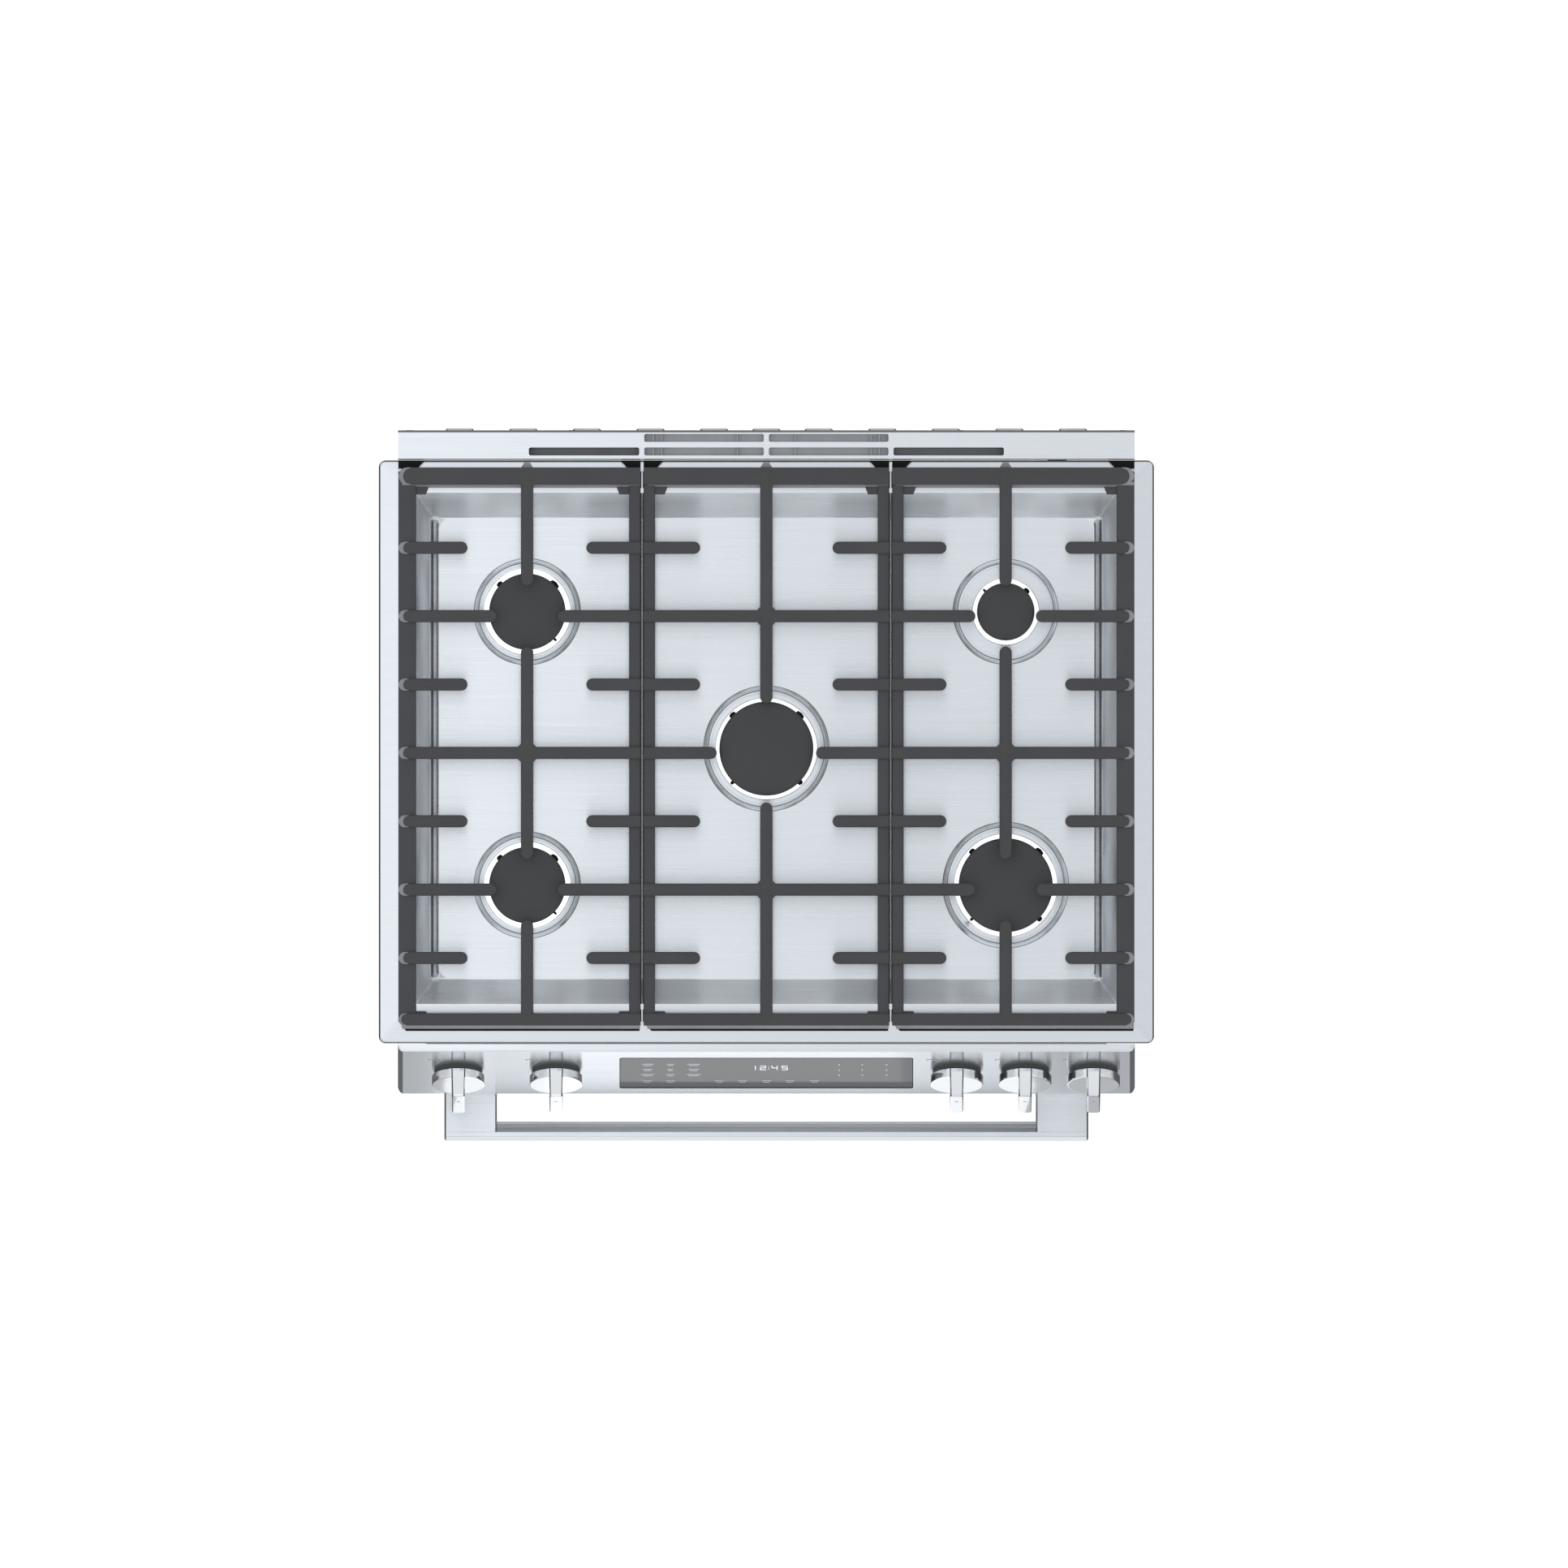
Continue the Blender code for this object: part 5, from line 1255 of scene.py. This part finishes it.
def make_door_screws():
    low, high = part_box("door_inner_panel")
    bm = bmesh.new()
    for x in DOOR_SCREW_X:
        for z in (low.z + 0.060, high.z - 0.040):
            add_rod(bm, (x, high.y - 0.0004, z), (x, high.y + 0.0014, z), SCREW_RADIUS, 16, 0.0006)
    show_fitting("door_screws", bm, "zinc_steel", "oven_door")


BRACKET_WIDTH = 0.0543
BRACKET_FRONT_Y = -0.3600
# The bar's section: distance back from its front, and depth under its top
BAR_FRONT = [(0.0002, 0.0033), (0.0, 0.0042), (0.0, 0.0232), (0.0010, 0.0262)]
# Brackets, upwards: how far their sides lean in, and the depth under the bar's top
BRACKET_STEPS = ((0.0, 0.0200), (0.0, 0.0052), (0.0018, 0.0003))


def handle_profile(low, top):
    """The bar's section: a rounded front, a lip on top and a ridged inner face."""
    lip = [
        (-0.3580, top - 0.0014), (-0.3586, top), (-0.3631, top), (-0.3636, top - 0.0009),
        (-0.3640, top - 0.0009),
    ]
    front = [(low.y + back, top - depth) for back, depth in BAR_FRONT]
    under = [(-0.3648, top - 0.0278), (-0.3630, low.z), (-0.3520, low.z), (-0.3496, top - 0.0272)]
    ridges = [
        (-0.3480, top - 0.0256), (-0.3478, top - 0.0186), (-0.3490, top - 0.0158),
        (-0.3500, top - 0.0154), (-0.3528, top - 0.0086), (-0.3542, top - 0.0078),
    ]
    return lip + front + under + ridges


def make_handle():
    """A bar with a ridged inner face, on two broad flat brackets with chamfered sides."""
    low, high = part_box("door_handle")
    profile = handle_profile(low, high.z)
    middle = sum((Vector(point) for point in profile), Vector((0, 0))) / len(profile)
    small = [tuple(Vector(point).lerp(middle, 0.22)) for point in profile]
    runs = [(low.x, small), (low.x + 0.0018, profile), (high.x - 0.0018, profile), (high.x, small)]
    bm = bmesh.new()
    loft(bm, [[Vector((x, y, z)) for y, z in points] for x, points in runs])
    for near, far in mirrored(high.x - BRACKET_WIDTH, high.x):
        loops = []
        for lean, depth in BRACKET_STEPS:
            left, right = near + lean, far - lean
            corners = [(left, BRACKET_FRONT_Y), (right, BRACKET_FRONT_Y), (right, high.y), (left, high.y)]
            loops.append(ring_of_points(corners, high.z - depth))
        loft(bm, loops)
    handle = show("handle_bar", bm, SLOTS["brushed_stainless"], "oven_door", ["door_handle"], smooth=20)
    # Faces on the bar's inner side, between the brackets, take darker steel: painted shade.
    handle.data.materials.append(SHADE_PAINTED_STEEL)
    for face in handle.data.polygons:
        if face.normal.y > 0.4 and abs(face.center.x) < high.x - BRACKET_WIDTH:
            face.material_index = 1
    even_normals(handle)


GASKET_Y, GASKET_CORNER = -0.2735, 0.020
GASKET_CORNERS = [(-0.325, 0.3000), (0.325, 0.3000), (0.325, 0.7640), (-0.325, 0.7640)]


def make_gasket():
    """The braided seal round the oven's mouth."""
    points = []
    for i, (x, z) in enumerate(GASKET_CORNERS):
        middle_x = x + math.copysign(GASKET_CORNER, -x)
        middle_z = z + GASKET_CORNER * (1 if i < 2 else -1)
        for k in range(6):
            angle = math.radians(180 + 90 * i + 18 * k)
            across, up = GASKET_CORNER * math.cos(angle), GASKET_CORNER * math.sin(angle)
            points.append((middle_x + across, GASKET_Y, middle_z + up))
    wire("door_gasket", [points], 0.0028, GASKET, "chassis", closed=True)


DRAWER_BACK_Y = -0.3090
DRAWER_LIP_Z = 0.2250


def make_drawer():
    """The drawer's front: a steel skin, folded back at its top and foot, with flat ends."""
    low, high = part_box("drawer_front")
    inner_y = DRAWER_BACK_Y + 0.0010
    profile = [
        (low.y, low.z + 0.0020), (low.y, high.z - 0.0020), (low.y + 0.0006, high.z - 0.0006),
        (low.y + 0.0020, high.z), (DRAWER_BACK_Y - 0.0006, high.z), (DRAWER_BACK_Y, high.z - 0.0006),
        (DRAWER_BACK_Y, DRAWER_LIP_Z), (high.y, DRAWER_LIP_Z), (high.y, DRAWER_LIP_Z - 0.0014),
        (inner_y, DRAWER_LIP_Z - 0.0014), (inner_y, low.z + 0.0014), (high.y, low.z + 0.0014),
        (high.y, low.z), (low.y + 0.0020, low.z), (low.y + 0.0006, low.z + 0.0006),
    ]
    bm = bmesh.new()
    drawn_along(bm, profile, low.x + 0.0015, high.x - 0.0015)
    for near, far in mirrored(high.x - 0.0016, high.x):
        end = (far, high.y, DRAWER_LIP_Z - 0.0002)
        add_block(bm, (near, low.y + 0.0010, low.z + 0.0004), end, 0.0005)
    steel = SLOTS["brushed_stainless"]
    even_normals(show("drawer_skin", bm, steel, "storage_drawer", ["drawer_front"]))


RACK_ROD, RACK_CROSS, RACK_WIRE = 0.0030, 0.0024, 0.0015
RACK_GAPS = 23


def make_rack(name):
    """A wire rack: a heavy ring with turned-up back, cross rods, and fine wires front to back."""
    low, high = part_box(f"oven_rack_{name}")
    z = low.z + RACK_ROD
    left, front, right, back = low.x + RACK_ROD, low.y + RACK_ROD, high.x - RACK_ROD, high.y - RACK_ROD
    body, chrome = f"rack_{name}", SLOTS["satin_chrome"]
    ring = rounded_rect(left, right, front, back, 0.012, z, 4)
    wire(f"{body}_ring", [ring], RACK_ROD, chrome, body, [f"oven_rack_{name}"], closed=True)
    cross = [[(left, y, z - 0.0002), (right, y, z - 0.0002)] for y in (-0.100, 0.040)]
    edge, top = left + 0.030, high.z - 0.002
    stop = bent([(edge, back, z), (edge, back, top), (-edge, back, top), (-edge, back, z)], 0.006)
    wire(f"{body}_cross", [*cross, stop], RACK_CROSS, chrome, body, slot="satin_chrome")
    spots = [left + (right - left) * i / RACK_GAPS for i in range(1, RACK_GAPS)]
    fine = [[(x, front, z + 0.0030), (x, back, z + 0.0030)] for x in spots]
    wire(f"{body}_wires", fine, RACK_WIRE, chrome, body, slot="satin_chrome", resolution=2)


OVEN_BACK_Y = 0.2050
LAMP_X, PROBE_X, FITTINGS_Z = 0.215, -0.215, 0.660
LAMP_DOME = [
    (0.0220, 0), (0.0220, 0.006), (0.0200, 0.014), (0.0140, 0.021), (0.0060, 0.0245), (0.0004, 0.0250),
]
LAMP_RIM = [(0.0221, 0), (0.0262, 0), (0.0262, 0.0036), (0.0240, 0.0050), (0.0221, 0.0050)]


def make_oven_fittings():
    """The oven lamp and the temperature probe on the cavity's back wall."""
    place = Matrix.Translation((LAMP_X, OVEN_BACK_Y, FITTINGS_Z)) @ turned(90, "X")
    bm = bmesh.new()
    add_turned(bm, LAMP_DOME, 32, place)
    show("oven_lamp_cover", bm, LAMP_GLASS, "chassis")
    bm = bmesh.new()
    add_turned(bm, LAMP_RIM, 32, place, closed=True)
    show_fitting("oven_lamp_rim", bm, "zinc_steel")
    bm = bmesh.new()
    back, x, z = OVEN_BACK_Y, PROBE_X, FITTINGS_Z
    add_block(bm, (x - 0.017, back - 0.0022, z - 0.012), (x + 0.017, back - 0.0002, z + 0.012), 0.0004)
    add_rod(bm, (x, back - 0.001, z), (x, back - 0.060, z), 0.0030, 16, 0.0008)
    for at in (x - 0.012, x + 0.012):
        add_rod(bm, (at, back - 0.0018, z), (at, back - 0.0036, z), 0.0026, 12, 0.0004)
    show_fitting("oven_probe", bm, "zinc_steel")


# ---------------------------------------------------------------- back, sides and legs
REAR_FACE_Y = 0.3640
LOUVRE_FINS, LOUVRE_PITCH = 6, 0.0135
LOUVRE_X = [0.0] + [side * (0.054 + 0.0656 * i) for i in range(5) for side in (-1, 1)]
LOUVRE_LOW_Z = 0.7900
# A fin's section: height over its foot, and how much of its depth it has there
FIN_STEPS = ((0.0, 0.55), (0.0010, 1.0), (0.0118, 0.30), (0.0124, 0.05))


def make_louvres():
    """The row of dark sloping vents at the top of the back panel, dark partly from their paint and partly from
    painted shade.
    """
    _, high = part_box("rear_panel")
    outline = ((0.0152, -0.0008), (0.0150, 0.0010), (0.0140, 0.0028), (0.0114, high.y - REAR_FACE_Y))
    bm = bmesh.new()
    for x in LOUVRE_X:
        for fin in range(LOUVRE_FINS):
            loops = []
            for rise, share in FIN_STEPS:
                z = LOUVRE_LOW_Z + LOUVRE_PITCH * fin + rise
                depths = [(half, out * share if out > 0 else out) for half, out in outline]
                right = [Vector((x + half, REAR_FACE_Y + out, z)) for half, out in depths]
                left = [Vector((2 * x - point.x, point.y, z)) for point in reversed(right)]
                loops.append(right + left)
            loft(bm, loops)
    show("rear_louvres", bm, DARK_PAINT_AND_SHADE, "chassis")


REAR_SCREWS = [(x, z) for x in (-0.368, 0.368) for z in (0.12, 0.30, 0.48, 0.66, 0.84)]
REAR_SCREWS += [(x, 0.090) for x in (-0.20, 0.0, 0.20)]
NUT = [
    (0.0102, -0.0125), (0.0150, -0.0125), (0.0158, -0.0115), (0.0158, 0.0005), (0.0150, 0.0015),
    (0.0102, 0.0015),
]
NUT_PLACE = (0.300, REAR_FACE_Y - 0.001, 0.300)
GLAND = [
    (0.0045, -0.014), (0.0120, -0.014), (0.0136, -0.010), (0.0136, -0.002), (0.0180, -0.002),
    (0.0180, 0.0005), (0.0110, 0.0030), (0.0045, 0.0034),
]
GLAND_PLACE = (-0.300, REAR_FACE_Y - 0.0022, 0.200)


def make_rear_fittings():
    """Screws round the back panel, the gas inlet's nut, and the power cord's gland."""
    bm = bmesh.new()
    y = REAR_FACE_Y
    for x, z in REAR_SCREWS:
        add_rod(bm, (x, y - 0.0004, z), (x, y + 0.0018, z), SCREW_RADIUS, 16, 0.0007)
        add_block(bm, (x - 0.0026, y + 0.0016, z - 0.0004), (x + 0.0026, y + 0.0019, z + 0.0004), 0.0)
    show_fitting("rear_screws", bm, "zinc_steel")
    for name, profile, steps, at, slot in (
        ("gas_inlet_nut", NUT, 6, NUT_PLACE, "brass"),
        ("cord_gland", GLAND, 32, GLAND_PLACE, "black_plastic"),
    ):
        bm = bmesh.new()
        add_turned(bm, profile, steps, Matrix.Translation(at) @ turned(-90, "X"), closed=True)
        show_fitting(name, bm, slot)


def make_side_screws():
    bm = bmesh.new()
    for side in (-1, 1):
        for z in (0.16, 0.50, 0.84):
            for y in (-0.245, 0.318):
                add_rod(bm, (side * 0.3790, y, z), (side * 0.3812, y, z), SCREW_RADIUS, 16, 0.0006)
    show_fitting("side_screws", bm, "zinc_steel")


LEG_PAD = [
    (0.0001, 0.0), (0.0172, 0.0), (0.0180, 0.0008), (0.0180, 0.0060), (0.0150, 0.0086), (0.0060, 0.0096),
    (0.0053, 0.0165),
]
LEG_HEXAGON = [
    (0.0050, 0.0096), (0.0100, 0.0096), (0.0106, 0.0104), (0.0106, 0.0146), (0.0100, 0.0154),
    (0.0050, 0.0154),
]
THREAD_START, THREAD_TURNS = 0.0170, 22


def make_leg(name):
    """A threaded levelling leg with a hexagon above its pad."""
    low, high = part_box(f"leveling_leg_{name}")
    centre = (low + high) / 2
    pitch = (high.z - 0.0008 - THREAD_START) / THREAD_TURNS
    thread = []
    for i in range(THREAD_TURNS):
        z = THREAD_START + pitch * i
        thread += [(0.0053, z), (0.0060, z + pitch * 0.5)]
    bm = bmesh.new()
    lathe(bm, [*LEG_PAD, *thread, (0.0050, high.z), (0.0001, high.z)], 28)
    lathe(bm, LEG_HEXAGON, 6)
    place = Matrix.Translation((centre.x, centre.y, 0))
    show(f"leg_{name}", bm, SLOTS["zinc_steel"], "chassis", [f"leveling_leg_{name}"], place, smooth=40)


# ---------------------------------------------------------------- everything together
def paint_cad_nodes():
    """Gives each CAD node that still shows the finish of its slot."""
    for name, node in frame["nodes"].items():
        node.data.materials.clear()
        node.data.materials.append(SLOTS[SLOT_OF[name]])


make_camera()
make_studio()
paint_cad_nodes()
make_cooktop()
make_vent_trim()
for burner in BURNER_NAMES:
    make_burner(burner)
make_grates()
make_panel()
make_display()
make_panel_marks()
for knob_number, knob_place in KNOBS.items():
    make_knob(knob_number, knob_place)
make_door_skin()
make_door_glass()
make_door_screws()
make_handle()
make_gasket()
make_drawer()
for rack_name in ("lower", "upper"):
    make_rack(rack_name)
make_oven_fittings()
make_louvres()
make_rear_fittings()
make_side_screws()
for leg_name in ("front_left", "front_right", "rear_left", "rear_right"):
    make_leg(leg_name)
